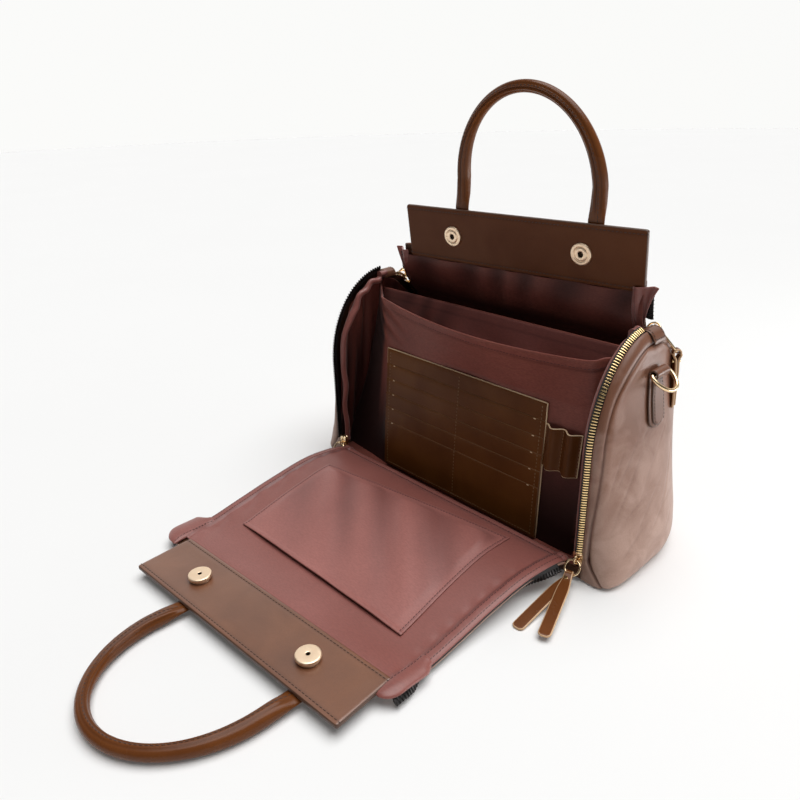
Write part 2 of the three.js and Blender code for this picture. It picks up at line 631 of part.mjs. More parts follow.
for (const [side, sign, pullTurn] of [['right', 1, 10], ['left', -1, 16]]) {
  const turn = degToRad(pullTurn);
  const place = point(sign * FRONT_SLIDER.x, FRONT_SLIDER.y, FRONT_SLIDER.z);
  addPull(
    `front_${side}`, FRONT_BAIL,
    { place, turn: new THREE.Euler(Math.PI / 2, 0, 0) },
    {
      at: place.clone().add(point(0, -FRONT_SLIDER.bailReach, 0)),
      way: point(0, -0.64, -0.77),
      run: point(1, 0, 0),
      radius: 6,
    },
    {
      run: point(Math.cos(turn), Math.sin(turn), 0),
      way: point(Math.sin(turn), -Math.cos(turn), -Math.tan(FRONT_SLIDER.pullSlope)),
      spread: 8,
    },
  );
  const { y, z } = archPoint(sideAtTurn(BACK_SLIDER.archTurn));
  const x = zipLineX(y, z) - GAP - ZIP_HALF;
  const { slant, pullTilt } = BACK_SLIDER;
  const lift = SLIDER.thick / 2 + BACK_SLIDER.bailReach;
  addPull(
    `back_${side}`, BACK_BAIL,
    { place: point(sign * x, y, z), turn: new THREE.Euler(-slant, 0, 0) },
    {
      at: point(sign * x, y + lift * Math.sin(slant), z + lift * Math.cos(slant)),
      way: point(sign * 0.977, -0.05, -0.207),
      run: point(0, 0.972, -0.235),
      radius: 7,
    },
    { run: point(0, 1, 0), way: point(sign * pullTilt, 0, -1), spread: 4 },
  );
}

// Strap rings and the leather tabs that hold them, built on the right side

const tabFoot = gussetSkin(D_TAB.y, D_TAB.barZ - D_TAB.length);
const tabHead = gussetSkin(D_TAB.y, D_TAB.barZ);
const tabLean = Math.atan2(tabFoot.x - tabHead.x, D_TAB.length);

// Frame of a tab: X out of the gusset, Z up along it, its origin on the gusset's outer face at the bar.
function tabGroup(sign) {
  const made = new THREE.Group();
  made.scale.x = sign;
  bag.add(made);
  const place = tabHead.clone().add(point(LEATHER + GAP, 0, 0));
  return group(made, place, new THREE.Euler(0, -tabLean, 0));
}

function tabGeometry() {
  const { halfWidth, length, thick, eyeRadius, eyeHole } = D_TAB;
  const tongue = new THREE.Shape();
  tongue.moveTo(-halfWidth, 0);
  tongue.absarc(0, halfWidth - length, halfWidth, Math.PI, 2 * Math.PI);
  tongue.lineTo(halfWidth, 0);
  const flat = plate(tongue, thick, 8).rotateX(Math.PI / 2).rotateZ(Math.PI / 2);
  const eye = new THREE.CylinderGeometry(eyeRadius, eyeRadius, 2 * halfWidth, 16).translate(eyeRadius, 0, 0);
  const hole = new THREE.CylinderGeometry(eyeHole, eyeHole, 3 * halfWidth, 12).translate(eyeRadius, 0, 0);
  return cut(joined(flat, eye), hole);
}

// D-shaped ring: its bar lies along Y through the origin and its bow reaches along X.
function dRingGeometry() {
  const { wire, barHalf, halfWidth, side } = D_RING;
  const outline = new THREE.Path();
  outline.moveTo(0, -barHalf);
  outline.lineTo(0, barHalf);
  outline.quadraticCurveTo(0.3, halfWidth, 2.5, halfWidth);
  outline.lineTo(side, halfWidth);
  outline.absarc(side, 0, halfWidth, Math.PI / 2, -Math.PI / 2, true);
  outline.lineTo(2.5, -halfWidth);
  outline.quadraticCurveTo(0.3, -halfWidth, 0, -barHalf);
  const spots = outline.getSpacedPoints(40).slice(0, -1).map((p) => point(p.x, p.y, 0));
  const curve = new THREE.CatmullRomCurve3(spots, true);
  return new THREE.TubeGeometry(curve, 30, wire, 5, true);
}

for (const [side, sign] of [['right', 1], ['left', -1]]) {
  const frame = tabGroup(sign);
  piece(`d_ring_tab_${side}`, 'leather', tabGeometry(), frame);
  const ring = piece(`d_ring_${side}`, 'gold', dRingGeometry(), frame);
  ring.position.x = D_TAB.eyeRadius;
  ring.rotation.y = tabLean + D_RING_DROOP;
}

// Divider pocket with its card panel and pen loops

// Row of the pocket's table at a share of the rows, with the right end of its back wall.
function pouchRow(v) {
  const place = v * (POUCH_ROWS.length - 1);
  const i = Math.min(Math.floor(place), POUCH_ROWS.length - 2);
  const row = rowAt(POUCH_ROWS, 'z', lerp(POUCH_ROWS[i].z, POUCH_ROWS[i + 1].z, place - i));
  return { ...row, end: gussetSkin(0, row.z).x - POUCH.sideGap };
}

// The front bows out and its top edge sags between the rows' last two.
const pouchFront = (u, v) => {
  const { z, front, left, bow } = pouchRow(v);
  const arch = Math.sin(Math.PI * u);
  const top = THREE.MathUtils.clamp((v - 1) * (POUCH_ROWS.length - 1) + 1, 0, 1);
  return point(lerp(left, POUCH.frontRight, u), front - bow * arch, z - POUCH.sag * top * arch ** 0.7);
};

const pouchBack = (u, v) => {
  const { z, back, end } = pouchRow(v);
  const half = end - POUCH.wall - GAP;
  return point(lerp(half, -half, u), back, z);
};

// A side of the pocket, from the front's end over one bend to the back's end.
function pouchSide(sign, frontEnd, bendY) {
  return (u, v) => {
    const row = pouchRow(v);
    const start = point(frontEnd(row), row.front, row.z);
    const bend = point(sign * row.end, bendY(row), row.z);
    if (u > 0.5) return bend.lerp(point(sign * row.end, row.back, row.z), 2 * u - 1);
    const run = Math.abs(bend.x - start.x);
    const slant = Math.atan2(bend.y - start.y, run);
    const clear = (GAP + POUCH.wall * Math.sin(slant)) / run;
    return start.lerp(bend, lerp(clear, 1, 2 * u));
  };
}

const pouchFloor = (u, v) => {
  const { z, front, back, left, end } = pouchRow(0);
  const clear = POUCH.wall + GAP;
  const y = lerp(front + clear + 2 * GAP, back - clear, v);
  return point(lerp(lerp(left, clear - end, v), lerp(POUCH.frontRight, end - clear, v), u), y, z);
};

const rightBend = ({ front, back }) => lerp(front, back, POUCH.sideShare);
const pouchRight = pouchSide(1, () => POUCH.frontRight, rightBend);
const pouchLeft = pouchSide(-1, ({ left }) => left, ({ back }) => back - POUCH.leftFold);
piece('pouch_front', 'lining', wall(pouchFront, [-POUCH.wall, 0], ...GRID.pouchFront));
piece('pouch_back', 'lining', wall(pouchBack, [-POUCH.wall, 0], ...GRID.pouchBack));
piece('pouch_right', 'lining', wall(pouchRight, [-POUCH.wall, 0], ...GRID.pouchSide));
piece('pouch_left', 'lining', wall(pouchLeft, [0, POUCH.wall], ...GRID.pouchSide));
piece('pouch_floor', 'lining', wall(pouchFloor, [0, POUCH.wall], 1, 1));

// The card panel gets thicker by a step at each slot. Its section is in Y and Z, and it runs along X.
function cardPanelGeometry() {
  const { left, right, height, slots, firstSlot, pitch, thin, step } = CARD_PANEL;
  const section = new THREE.Shape();
  section.moveTo(0, 0);
  section.lineTo(0, height);
  section.lineTo(-thin, height);
  for (let i = 0; i < slots; i += 1) {
    const z = height - firstSlot - i * pitch;
    section.lineTo(-thin - i * step, z);
    section.lineTo(-thin - (i + 1) * step, z);
  }
  section.lineTo(-thin - slots * step, 0);
  const geometry = plate(section, right - left);
  geometry.applyMatrix4(new THREE.Matrix4().makeBasis(point(0, 1, 0), point(0, 0, 1), point(1, 0, 0)));
  return geometry.translate(left, 0, 0);
}

const [footRow, flatRow] = [POUCH_ROWS[0], POUCH_ROWS[3]];
const wallLean = Math.atan2(flatRow.front - footRow.front, flatRow.z - footRow.z);
const cardPlace = point(CARD_PANEL.footShift, footRow.front - 2 * GAP, footRow.z + CARD_PANEL.footRise);
const cardFrame = group(bag, cardPlace, new THREE.Euler(-wallLean, CARD_PANEL.tilt, 0));
piece('card_panel', 'darkLeather', cardPanelGeometry(), cardFrame);

const penSurface = (u, v) => {
  const { left, right, bottomZ, topZ, loops, depth, thick } = PEN_LOOPS;
  const z = lerp(bottomZ, topZ, v);
  const stand = thick / 2 + 3 * GAP + depth * (1 - Math.cos(2 * Math.PI * loops * u)) / 2;
  return point(lerp(left, right, u), rowAt(POUCH_ROWS, 'z', z).front - stand, z);
};
const penOffsets = [-PEN_LOOPS.thick / 2, PEN_LOOPS.thick / 2];
piece('pen_loops', 'darkLeather', wall(penSurface, penOffsets, ...GRID.penLoops));

export default bag;
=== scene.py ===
"""Looks of a leather shoulder bag that stands open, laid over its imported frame. Sizes are in millimetres."""

import math

import bpy
import numpy as np
from mathutils import Matrix, Vector


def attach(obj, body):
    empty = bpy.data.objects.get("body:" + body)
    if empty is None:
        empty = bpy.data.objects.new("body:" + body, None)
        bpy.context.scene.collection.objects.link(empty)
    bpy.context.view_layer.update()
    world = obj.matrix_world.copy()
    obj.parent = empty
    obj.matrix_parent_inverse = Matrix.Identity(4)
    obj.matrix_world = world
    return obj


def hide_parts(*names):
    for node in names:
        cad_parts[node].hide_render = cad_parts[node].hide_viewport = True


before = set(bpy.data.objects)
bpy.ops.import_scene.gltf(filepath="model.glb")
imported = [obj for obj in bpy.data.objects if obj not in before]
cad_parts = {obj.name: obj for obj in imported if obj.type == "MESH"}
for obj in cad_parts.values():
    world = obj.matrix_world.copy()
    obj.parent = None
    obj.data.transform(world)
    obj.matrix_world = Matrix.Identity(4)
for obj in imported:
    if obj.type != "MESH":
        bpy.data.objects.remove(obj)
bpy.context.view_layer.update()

MM = 0.001
TURN = 2 * math.pi

# Camera at the photograph's viewing angle, angles in degrees
CAMERA = {"place": (367.309, -455.905, 350.388), "azimuth": 47.0508, "elevation": 24.1168, "roll": -1.7269}
LENS = {"focal": 31.0416, "sensor": 36}
STAGE = {"flat": 6000, "top": 5200, "half_angle": 62, "glow": 0.95, "paper_glow": 0.055}

# Light, with places and sizes in metres
SUN = {"from": (0.12, 0.2, 1), "softness": math.radians(60), "strength": 3.3}
SOFTBOX = {"place": (0.8, 0.55, 0.1), "target": (0.16, 0, 0.02), "size": (0.8, 0.18), "watts": 3.5}
SURROUND = {"colour": (1, 0.99, 0.98, 1), "strength": 0.12}

# Driving dimensions, the same as the frame's where the frame has them
LEATHER = 2
CLOTH = 1
GAP = 0.3
HALF_DEPTH, FOOT_Z, SHOULDER_Z, RISE = 63, 2.2, 108, 78
CROWN_Z = SHOULDER_Z + RISE
STRAIGHT_SHARE = 0.49
BACK_LEAN = 0.21
ZIP_X, ZIP_BACK_LEAN = 145.5, 4
ZIP_HALF, ZIP_TUCK = 6, 2
CROWN_INSET = 7
FACING = {"low": 3.8, "high": 6.2, "flare": 16, "corner_z": 22, "round": 0.8, "sink": 0.3}
TOP_SIDE = 0.06
STRIP = {"length": 231, "height": 47, "thick": 3.6, "corner": 1.4, "stitch": 2.6}
FLAP_TURN = math.radians(4)
BACK_FLAP = {"shift": 10.5, "y": 15, "z": 207.6, "lean": math.radians(7.6)}
BACK_TOP = {"shift": 4, "taper": 8, "from_z": 178, "to_z": 205}
FRONT_FLAP = {"shift": 5.5, "y": -249.6, "z": 10}
FRONT_TURN = (90, 249)
SNAP = {"radius": 9, "spread": 63.5}
HANDLE = {"spread": 64, "leg": 22, "rise": 96.7, "seat": 3.8, "slim": 0.8, "ridge": 0.3, "groove": 0.62}
D_TAB = {"y": -6, "half_width": 8.5, "length": 42, "bar_z": 160, "eye": 3.9}
D_BAND = {"radius": 3.05, "half": 0.8}
D_RING = {"wire": 1.5, "half_width": 12, "side": 4, "bar_half": 10, "droop": math.radians(38)}
PULL = {"width": 8, "thick": 1.7, "eye": 3.4, "hole": 2, "eye_width": 4.4, "rivet_at": 6.5}
RING_WIRE = 0.9
SLIDER = {"length": 12, "thick": 5.4, "slit": 0.7, "bail_wire": 0.8, "bridge_at": 3.6}
FRONT_SLIDER = {"x": 141.5, "y": -63, "z": 19, "reach": 4.2, "slope": math.radians(6), "bail": 3.4}
BACK_SLIDER = {"turn": 25, "slant": math.radians(30), "reach": 3.2, "tilt": 0.06, "bail": 5.2}
FRONT_PULL = {"ring": 6, "stretch": 1.0, "sizes": {"length": 65, "spread": 9, "curl": 0.8}}
BACK_PULL = {"ring": 4.6, "stretch": 2.8, "sizes": {"length": 42, "spread": 3, "curl": 0.4}}
CARD = {"left": -98.5, "right": 85.5, "height": 119, "slots": 5, "first": 15, "pitch": 14.5, "thin": 1.5}
CARD_INSET = {"stitch": 4, "foot": 3, "rivet": 10}
CARD_PLACE = {"shift": 4.5, "rise": 2, "tilt": math.radians(-1.8), "slope": 0.042, "step": 0.45}
PEN_LOOPS = {"left": 88, "right": 120.5, "bottom": 72, "top": 107, "loops": 2, "depth": 5.5, "thick": 1.3}
POUCH_PANELS = [f"pouch_{panel}" for panel in ("front", "back", "left", "right", "floor")]
POUCH = {"right": 122.5, "side_gap": 10.5, "side_share": 0.55, "left_fold": 4, "wall": 1.2, "hem": 8}
POUCH_EDGE = {"sag": 5, "left_rise": 4, "right_fall": 2}
POCKET = {"seam_lift": 2.5, "clearance": 2.9, "puff": 1.6}
POCKET_FOOT = {"left": (0.106, -107), "right": (0.837, -82)}
POCKET_MOUTH = {"left": (0.13, -206.5), "right": (0.875, -214.5)}
BINDING = 9
FOLD_WAY = (0.68, 0.73)
TAPE_THICK = 0.9
FRONT_TAPE = {"from_y": -81, "off": 0.9, "lift": 0.6, "fan_right": 7.5}
FRONT_ZIP = {"foot_z": 26, "top_turn": 4}
BACK_ZIP = {"foot_z": 10, "top_turn": 36, "free_z": (188, 207)}
BACK_LINING = {"top": 206.5, "seam": 207, "ear_z": (178, 211), "ear_inset": 7}
BASE_LINING = {"front": -57, "back": 55, "inset": 7, "lift": 0.3}
GUSSET_ROLL = {"gap": 0.4, "high": 0.5, "at": 5, "wide": 4, "dip": 0.9, "dip_wide": 1.2}
LINING_INSET = 3.6
LIP = {"foot_z": 20, "inset": 1.2, "off": 3.8, "half": 3.4, "slim_half": 1.5, "deep": 3, "lift": 2.4}
CROWN_TAB = {"back": 13, "front": -3, "half": 0.4, "dome": 0.35, "reach": 0.86}

# Zip teeth by where they are: length, width and height, and the middle of a free tooth on its tape
TEETH_SIZES = {
    "arch": (4.4, 1.2, 2.6), "closed": (6.4, 1.4, 2.6), "free": (4.4, 1.4, 2.6), "front": (4.4, 1.4, 2.4),
}
TOOTH_AT = 4.4

# Stitches by where they are: way from one to the next, length and width
SEAMS = {
    "crown": (2.8, 2, 0.75), "lining": (3, 2.2, 0.6), "pocket": (3, 2.2, 0.55), "strip": (3.3, 2.2, 0.6),
    "card": (3.2, 1.7, 0.75), "loop": (3, 2, 0.6), "pull": (3, 2, 0.5), "tab": (2.8, 2, 0.5),
}
STITCH_SLANT = math.radians(6)
STITCH_HIGH, STITCH_LIFT = 0.8, 0.12

# Groups of faces, which are places in a piece's list of materials
OVER, UNDER, RIM, THREAD, TRIM, METAL = range(6)
TEETH = 1
FLIPPED = (UNDER, OVER, RIM)
SIDES = (("left", -1), ("right", 1))
MIRRORED = (("right", False), ("left", True))

# Gusset by height: outward swell, and how square the swell is towards the front and the back
GUSSET_Z, SWELL, FRONT_SQUARE, BACK_SQUARE = np.array([
    (2.2, 21, 6, 1.5), (4.8, 25, 6, 1.5), (10, 27.5, 4.5, 1.5), (25, 28, 3, 1.5), (55, 24.5, 2, 1.5),
    (85, 20, 1.7, 1.5), (108, 16.5, 1.6, 1.5), (130, 13.2, 1.6, 1.5), (150, 10.2, 1.6, 1.6),
    (168, 7.5, 2, 2), (177, 5, 2, 2), (186, 0, 2, 2),
]).T

# Creases of a gusset's leather: y and z of the start, the middle and the end, depth and width
CREASES = np.array([
    (-57, 40, -41, 80, -14, 114, 0.3, 1.8), (-36, 34, -17, 64, 6, 78, 0.32, 1.4),
    (-52, 22, -36, 36, -20, 46, 0.25, 1.5), (-4, 46, 14, 72, 24, 98, 0.3, 1.6),
    (-50, 78, -34, 104, -20, 124, 0.22, 1.6), (-30, 58, -20, 84, -4, 96, 0.25, 1.0),
    (-20, 30, -2, 52, 18, 60, 0.25, 1.2), (-44, 52, -34, 64, -12, 70, 0.2, 0.9),
    (-12, 88, 0, 104, 16, 122, 0.2, 1.1), (-60, 60, -50, 92, -40, 112, 0.2, 1.4),
    (4, 24, 16, 44, 34, 52, 0.25, 1.4), (-26, 100, -14, 126, -2, 138, 0.18, 1.2),
])

# Base from the top of its front lip over the flat underside to the top of its back lip
BASE_Y, BASE_Z, BASE_HALF = np.array([
    (-66.4, 12, 144.5), (-66.4, 8, 144.5), (-65.2, 4.4, 144.5), (-62.4, 1.9, 144.5), (-58.6, 1, 156),
    (-53, 1, 164.5), (2, 1, 164.5), (28, 1, 158.5), (50, 1, 150), (58.6, 1, 145), (62.4, 1.9, 144),
    (65.2, 4.4, 144), (66.4, 8, 144), (66.4, 12, 144),
]).T

# Front panel from the hinge outwards, with its left and right edges
FRONT_Y, FRONT_Z, FRONT_LEFT, FRONT_RIGHT = np.array([
    (-66.5, 14.6, -132.8, 134), (-80, 18, -135.5, 133), (-110, 18.5, -140, 130), (-150, 14, -139, 128),
    (-190, 8.5, -135.5, 127.5), (-222, 6, -130.5, 128), (-249.3, 7.9, -126.5, 128.5),
    (-258, 7.6, -125.5, 128.5),
]).T

# Divider pocket by height: front and back walls, left end of the front and how far the front bows out
POUCH_Z, POUCH_FRONT, POUCH_BACK, POUCH_LEFT, POUCH_BOW = np.array([
    (3.8, -46, -34, -99, 0), (40, -42.5, -22, -100.5, 0), (85, -38.15, -10, -102, 0),
    (128, -34, -3, -103.5, 0), (148, -34, -1, -103.5, 6), (170, -36, 0, -103.5, 12),
]).T

# Crown tab's section, and the back panel's top above the gussets
CROWN_TAB_XZ = [(137.5, 181), (138.6, 185.6), (142.5, 187.6), (147, 186.4), (150.6, 181.5), (153.4, 173)]
BACK_TOP_YZ = [(21, 187), (18, 198), (17, 207), (16.4, 215.5)]

# Handle's end: height above the strip, half width, half thickness and share of the standing off
HANDLE_UP, HANDLE_WIDE, HANDLE_THICK, HANDLE_AWAY = np.array([
    (-36, 5, 1.2, 0), (-30, 6.8, 1.5, 0), (-8, 7, 1.6, 0), (2, 6.9, 2.4, 0.15), (12, 6.5, 4.8, 0.6),
    (26, 5.9, 6, 1),
]).T


# Small mathematics

def lerp(a, b, share):
    return a + (b - a) * share


def smooth(value, low, high):
    share = np.clip((np.asarray(value, float) - low) / (high - low), 0, 1)
    return share * share * (3 - 2 * share)


def bump(distance, width):
    return np.exp(-(distance / width) ** 2)


def unit(vectors):
    length = np.linalg.norm(vectors, axis=-1, keepdims=True)
    return vectors / np.maximum(length, 1e-9)


def soft_interp(value, keys, column):
    """Smooth curve through a table's column, at values of its rising key column."""
    slopes = np.gradient(column, keys)
    value = np.clip(value, keys[0], keys[-1])
    i = np.clip(np.searchsorted(keys, value, side="right") - 1, 0, len(keys) - 2)
    span = keys[i + 1] - keys[i]
    t = (value - keys[i]) / span
    rise = 3 * t**2 - 2 * t**3
    swing = span * (slopes[i] * t * (1 - t) ** 2 - slopes[i + 1] * t**2 * (1 - t))
    return lerp(column[i], column[i + 1], rise) + swing


def curve_points(points, share):
    """Centripetal curve through points, at shares of the way counted in points."""
    points = np.asarray(points, float)
    padded = np.vstack([2 * points[0] - points[1], points, 2 * points[-1] - points[-2]])
    place = np.clip(np.asarray(share, float), 0, 1) * (len(points) - 1)
    i = np.minimum(place.astype(int), len(points) - 2)
    t = (place - i)[..., None]
    p0, p1, p2, p3 = (padded[i + k] for k in range(4))
    d0, d1, d2 = (
        np.maximum(np.linalg.norm(b - a, axis=-1, keepdims=True), 1e-6) ** 0.5
        for a, b in ((p0, p1), (p1, p2), (p2, p3))
    )
    start = d1 * ((p1 - p0) / d0 - (p2 - p0) / (d0 + d1) + (p2 - p1) / d1)
    end = d1 * ((p2 - p1) / d1 - (p3 - p1) / (d1 + d2) + (p3 - p2) / d2)
    rise = 3 * t**2 - 2 * t**3
    return lerp(p1, p2, rise) + start * t * (1 - t) ** 2 - end * t**2 * (1 - t)


def even(path, step=0, count=0):
    """A path again, with points about a step apart or with a count of points."""
    run = np.concatenate([[0], np.cumsum(np.linalg.norm(np.diff(path, axis=0), axis=1))])
    places = np.linspace(0, run[-1], count or max(2, round(run[-1] / step) + 1))
    return np.stack([np.interp(places, run, path[:, k]) for k in range(path.shape[1])], axis=1)


def grid_of(columns, rows):
    """Shares u along the columns and v along the rows of a grid."""
    return np.meshgrid(np.linspace(0, 1, columns), np.linspace(0, 1, rows))


def point_grid(x, y, z):
    return np.stack(np.broadcast_arrays(x, y, z), axis=-1).astype(float)


def normals_of(grid):
    return unit(np.cross(np.gradient(grid, axis=1), np.gradient(grid, axis=0)))


def on_grid(grid, u, v):
    """Values of a grid at shares of the way along its columns and its rows."""
    rows, columns = grid.shape[:2]
    x, y = np.asarray(u) * (columns - 1), np.asarray(v) * (rows - 1)
    j = np.clip(x.astype(int), 0, columns - 2)
    i = np.clip(y.astype(int), 0, rows - 2)
    s, t = (x - j)[..., None], (y - i)[..., None]
    return lerp(lerp(grid[i, j], grid[i, j + 1], s), lerp(grid[i + 1, j], grid[i + 1, j + 1], s), t)


def edge_distances(grid):
    """Distances over a grid from its left, right, first and last edges."""
    found = []
    for axis in (1, 0):
        steps = np.linalg.norm(np.diff(grid, axis=axis), axis=2)
        run = np.cumsum(np.insert(steps, 0, 0, axis=axis), axis=axis)
        total = np.take(run, [-1], axis=axis)
        found += [run, total - run]
    return found


def inset_line(grid, edge, distance, start, end):
    """Shares u and v along a line that keeps its distance from one edge of a grid."""
    run = edge_distances(grid)[("left", "right", "first", "last").index(edge)]
    sideways = edge in ("left", "right")
    lines = run if sideways else run.T
    along = np.linspace(0, 1, len(lines))
    share = np.linspace(0, 1, lines.shape[1])
    if edge in ("right", "last"):
        lines, share = lines[:, ::-1], share[::-1]
    across = np.array([np.interp(distance, line, share) for line in lines])
    kept = (along >= start) & (along <= end)
    return (across[kept], along[kept]) if sideways else (along[kept], across[kept])


# Shapes: points with quads, triangles, a material group for each face and a painted shade for each point

class Shape:
    def __init__(self, points, quads=(), triangles=(), quad_groups=0, triangle_groups=0, shade=0):
        self.points = np.asarray(points, float).reshape(-1, 3)
        self.quads = np.asarray(quads, int).reshape(-1, 4)
        self.triangles = np.asarray(triangles, int).reshape(-1, 3)
        self.quad_groups = np.zeros(len(self.quads), int) + quad_groups
        self.triangle_groups = np.zeros(len(self.triangles), int) + triangle_groups
        self.shade = np.zeros(len(self.points)) + shade

    def moved(self, matrix):
        matrix = np.array(matrix)
        points = self.points @ matrix[:3, :3].T + matrix[:3, 3]
        groups = self.quad_groups, self.triangle_groups
        return Shape(points, self.quads, self.triangles, *groups, self.shade)

    def grouped(self, group):
        return Shape(self.points, self.quads, self.triangles, group, group, self.shade)


def join(*shapes):
    starts = np.cumsum([0] + [len(s.points) for s in shapes])
    return Shape(
        np.vstack([s.points for s in shapes]),
        np.vstack([s.quads + start for s, start in zip(shapes, starts)]),
        np.vstack([s.triangles + start for s, start in zip(shapes, starts)]),
        np.concatenate([s.quad_groups for s in shapes]),
        np.concatenate([s.triangle_groups for s in shapes]),
        np.concatenate([s.shade for s in shapes]),
    )


def grid_cells(rows, columns):
    """Numbers of a grid's points, and the quads between them."""
    index = np.arange(rows * columns).reshape(rows, columns)
    corners = index[:-1, :-1], index[:-1, 1:], index[1:, 1:], index[1:, :-1]
    return index, np.stack(corners, axis=-1).reshape(-1, 4)


def wall(grid, low, high, shade=0, rim_steps=3, groups=(OVER, UNDER, RIM), rim_reach=1.0):
    """Closed wall between two offsets along a grid's normals. Less reach makes its round rim flatter."""
    rows, columns = grid.shape[:2]
    normal = normals_of(grid)
    low, high = (np.broadcast_to(offset, (rows, columns))[..., None] for offset in (low, high))
    index, cells = grid_cells(rows, columns)
    border = np.concatenate([index[0, :-1], index[:-1, -1], index[-1, :0:-1], index[:0:-1, 0]])
    spot, way, under, over = (a.reshape(-1, a.shape[-1])[border] for a in (grid, normal, low, high))
    out = unit(np.cross(np.roll(spot, -1, axis=0) - np.roll(spot, 1, axis=0), way))
    middle, half = spot + way * (under + over) / 2, (over - under) / 2
    turns = math.pi * np.arange(1, rim_steps + 1) / (rim_steps + 1)
    rings = [middle + half * (math.cos(turn) * way + rim_reach * math.sin(turn) * out) for turn in turns]
    points = np.vstack([(grid + normal * high).reshape(-1, 3), (grid + normal * low).reshape(-1, 3), *rings])
    size, around = rows * columns, len(border)
    between = [2 * size + k * around + np.arange(around) for k in range(rim_steps)]
    loops = [border, *between, border + size]
    rim = [
        np.stack([a, b, np.roll(b, -1), np.roll(a, -1)], axis=-1) for a, b in zip(loops[:-1], loops[1:])
    ]
    quads = np.vstack([cells, cells[:, ::-1] + size, *rim])
    counts = [len(cells), len(cells), around * (rim_steps + 1)]
    shades = np.broadcast_to(shade, (rows, columns)).reshape(-1)
    all_shades = np.concatenate([shades, shades] + [shades[border]] * rim_steps)
    return Shape(points, quads, quad_groups=np.repeat(groups, counts), shade=all_shades)


def loft(rings, loop=False, shade=0):
    """Closed skin over a row of rings, with flat caps unless the row is a loop."""
    rings = np.asarray(rings, float)
    count, sides = rings.shape[:2]
    index = np.arange(count * sides).reshape(count, sides)
    rows = np.vstack([index, index[:1]]) if loop else index
    turned = np.roll(rows, -1, axis=1)
    quads = np.stack([rows[:-1], turned[:-1], turned[1:], rows[1:]], axis=-1).reshape(-1, 4)
    shades = np.broadcast_to(shade, (count, sides)).reshape(-1)
    if loop:
        return Shape(rings.reshape(-1, 3), quads, shade=shades)
    ends = np.array([count * sides, count * sides + 1])
    first = np.stack([np.roll(index[0], -1), index[0], np.full(sides, ends[0])], axis=1)
    last = np.stack([index[-1], np.roll(index[-1], -1), np.full(sides, ends[1])], axis=1)
    points = np.vstack([rings.reshape(-1, 3), rings[0].mean(0), rings[-1].mean(0)])
    return Shape(points, quads, np.vstack([first, last]), shade=np.append(shades, shades[[0, -1]]))


def circle(radius, sides):
    angle = np.linspace(0, TURN, sides, endpoint=False)
    return radius * np.cos(angle), radius * np.sin(angle)


def tube(path, radius, sides):
    """Round wire along a closed path that lies flat."""
    tangent = unit(np.roll(path, -1, axis=0) - np.roll(path, 1, axis=0))
    side = unit(np.cross((0.0, 0.0, 1.0), tangent))
    up = np.cross(tangent, side)
    across, high = circle(radius, sides)
    rings = path[:, None] + side[:, None] * across[None, :, None] + up[:, None] * high[None, :, None]
    return loft(rings, loop=True)


def lathe(profile, sides, hole=0):
    """Solid of revolution round Z from rows of radius and height. Its upper side gets painted shade inside the
    hole.
    """
    radius = np.array(profile)[:, 0]
    rings = [np.stack([*circle(r, sides), np.full(sides, h)], axis=1) for r, h in profile]
    upper = np.arange(len(radius)) > len(radius) / 2
    return loft(rings, shade=(upper & (radius < hole)).astype(float)[:, None])


def scatter(template, centres, axes):
    """Copies of a small shape at centres, each with its own three axes (already scaled) as rows."""
    count, size = len(centres), len(template.points)
    points = centres[:, None] + np.einsum("tk,nkc->ntc", template.points, axes)
    steps = (np.arange(count) * size)[:, None, None]
    return Shape(points, template.quads[None] + steps, template.triangles[None] + steps)


def capsule(stops, widths, section):
    """Skin over a section that has a width at each stop along X."""
    rings = [np.stack([np.full(len(section), x), *(section.T * w)], axis=1) for x, w in zip(stops, widths)]
    return loft(rings)


ROUND = np.stack(circle(0.5, 8), axis=1)
SQUARE = np.sign(ROUND) * np.abs(ROUND * 2) ** 0.4 / 2
STITCH = capsule((-0.5, -0.3, 0.3, 0.5), (0.4, 1, 1, 0.4), np.stack(circle(0.5, 6), axis=1))
TOOTH = capsule((-0.5, -0.46, 0.1, 0.36, 0.5), (0.8, 1, 1, 0.86, 0.5), SQUARE)


def stitches(path, normals, seam):
    """Row of stitches along a path that lies on a surface with these normals."""
    pitch, length, width = SEAMS[seam]
    both = even(np.hstack([path, np.broadcast_to(normals, path.shape)]), pitch)
    spots, way = both[:, :3], unit(both[:, 3:])
    tangent = unit(np.gradient(spots, axis=0))
    side = unit(np.cross(way, tangent))
    run = tangent * math.cos(STITCH_SLANT) + side * math.sin(STITCH_SLANT)
    axes = np.stack([run * length, np.cross(way, run) * width, way * width * STITCH_HIGH], axis=1)
    return scatter(STITCH, spots + way * width * STITCH_LIFT, axes).grouped(THREAD)


def stitch_on(grid, high, u, v, seam):
    """Stitches along a line of shares u and v on the upper face of a wall."""
    u, v = np.broadcast_arrays(np.asarray(u, float), np.asarray(v, float))
    normal = normals_of(grid)
    face = grid + normal * np.broadcast_to(high, grid.shape[:2])[..., None]
    return stitches(on_grid(face, u, v), unit(on_grid(normal, u, v)), seam)


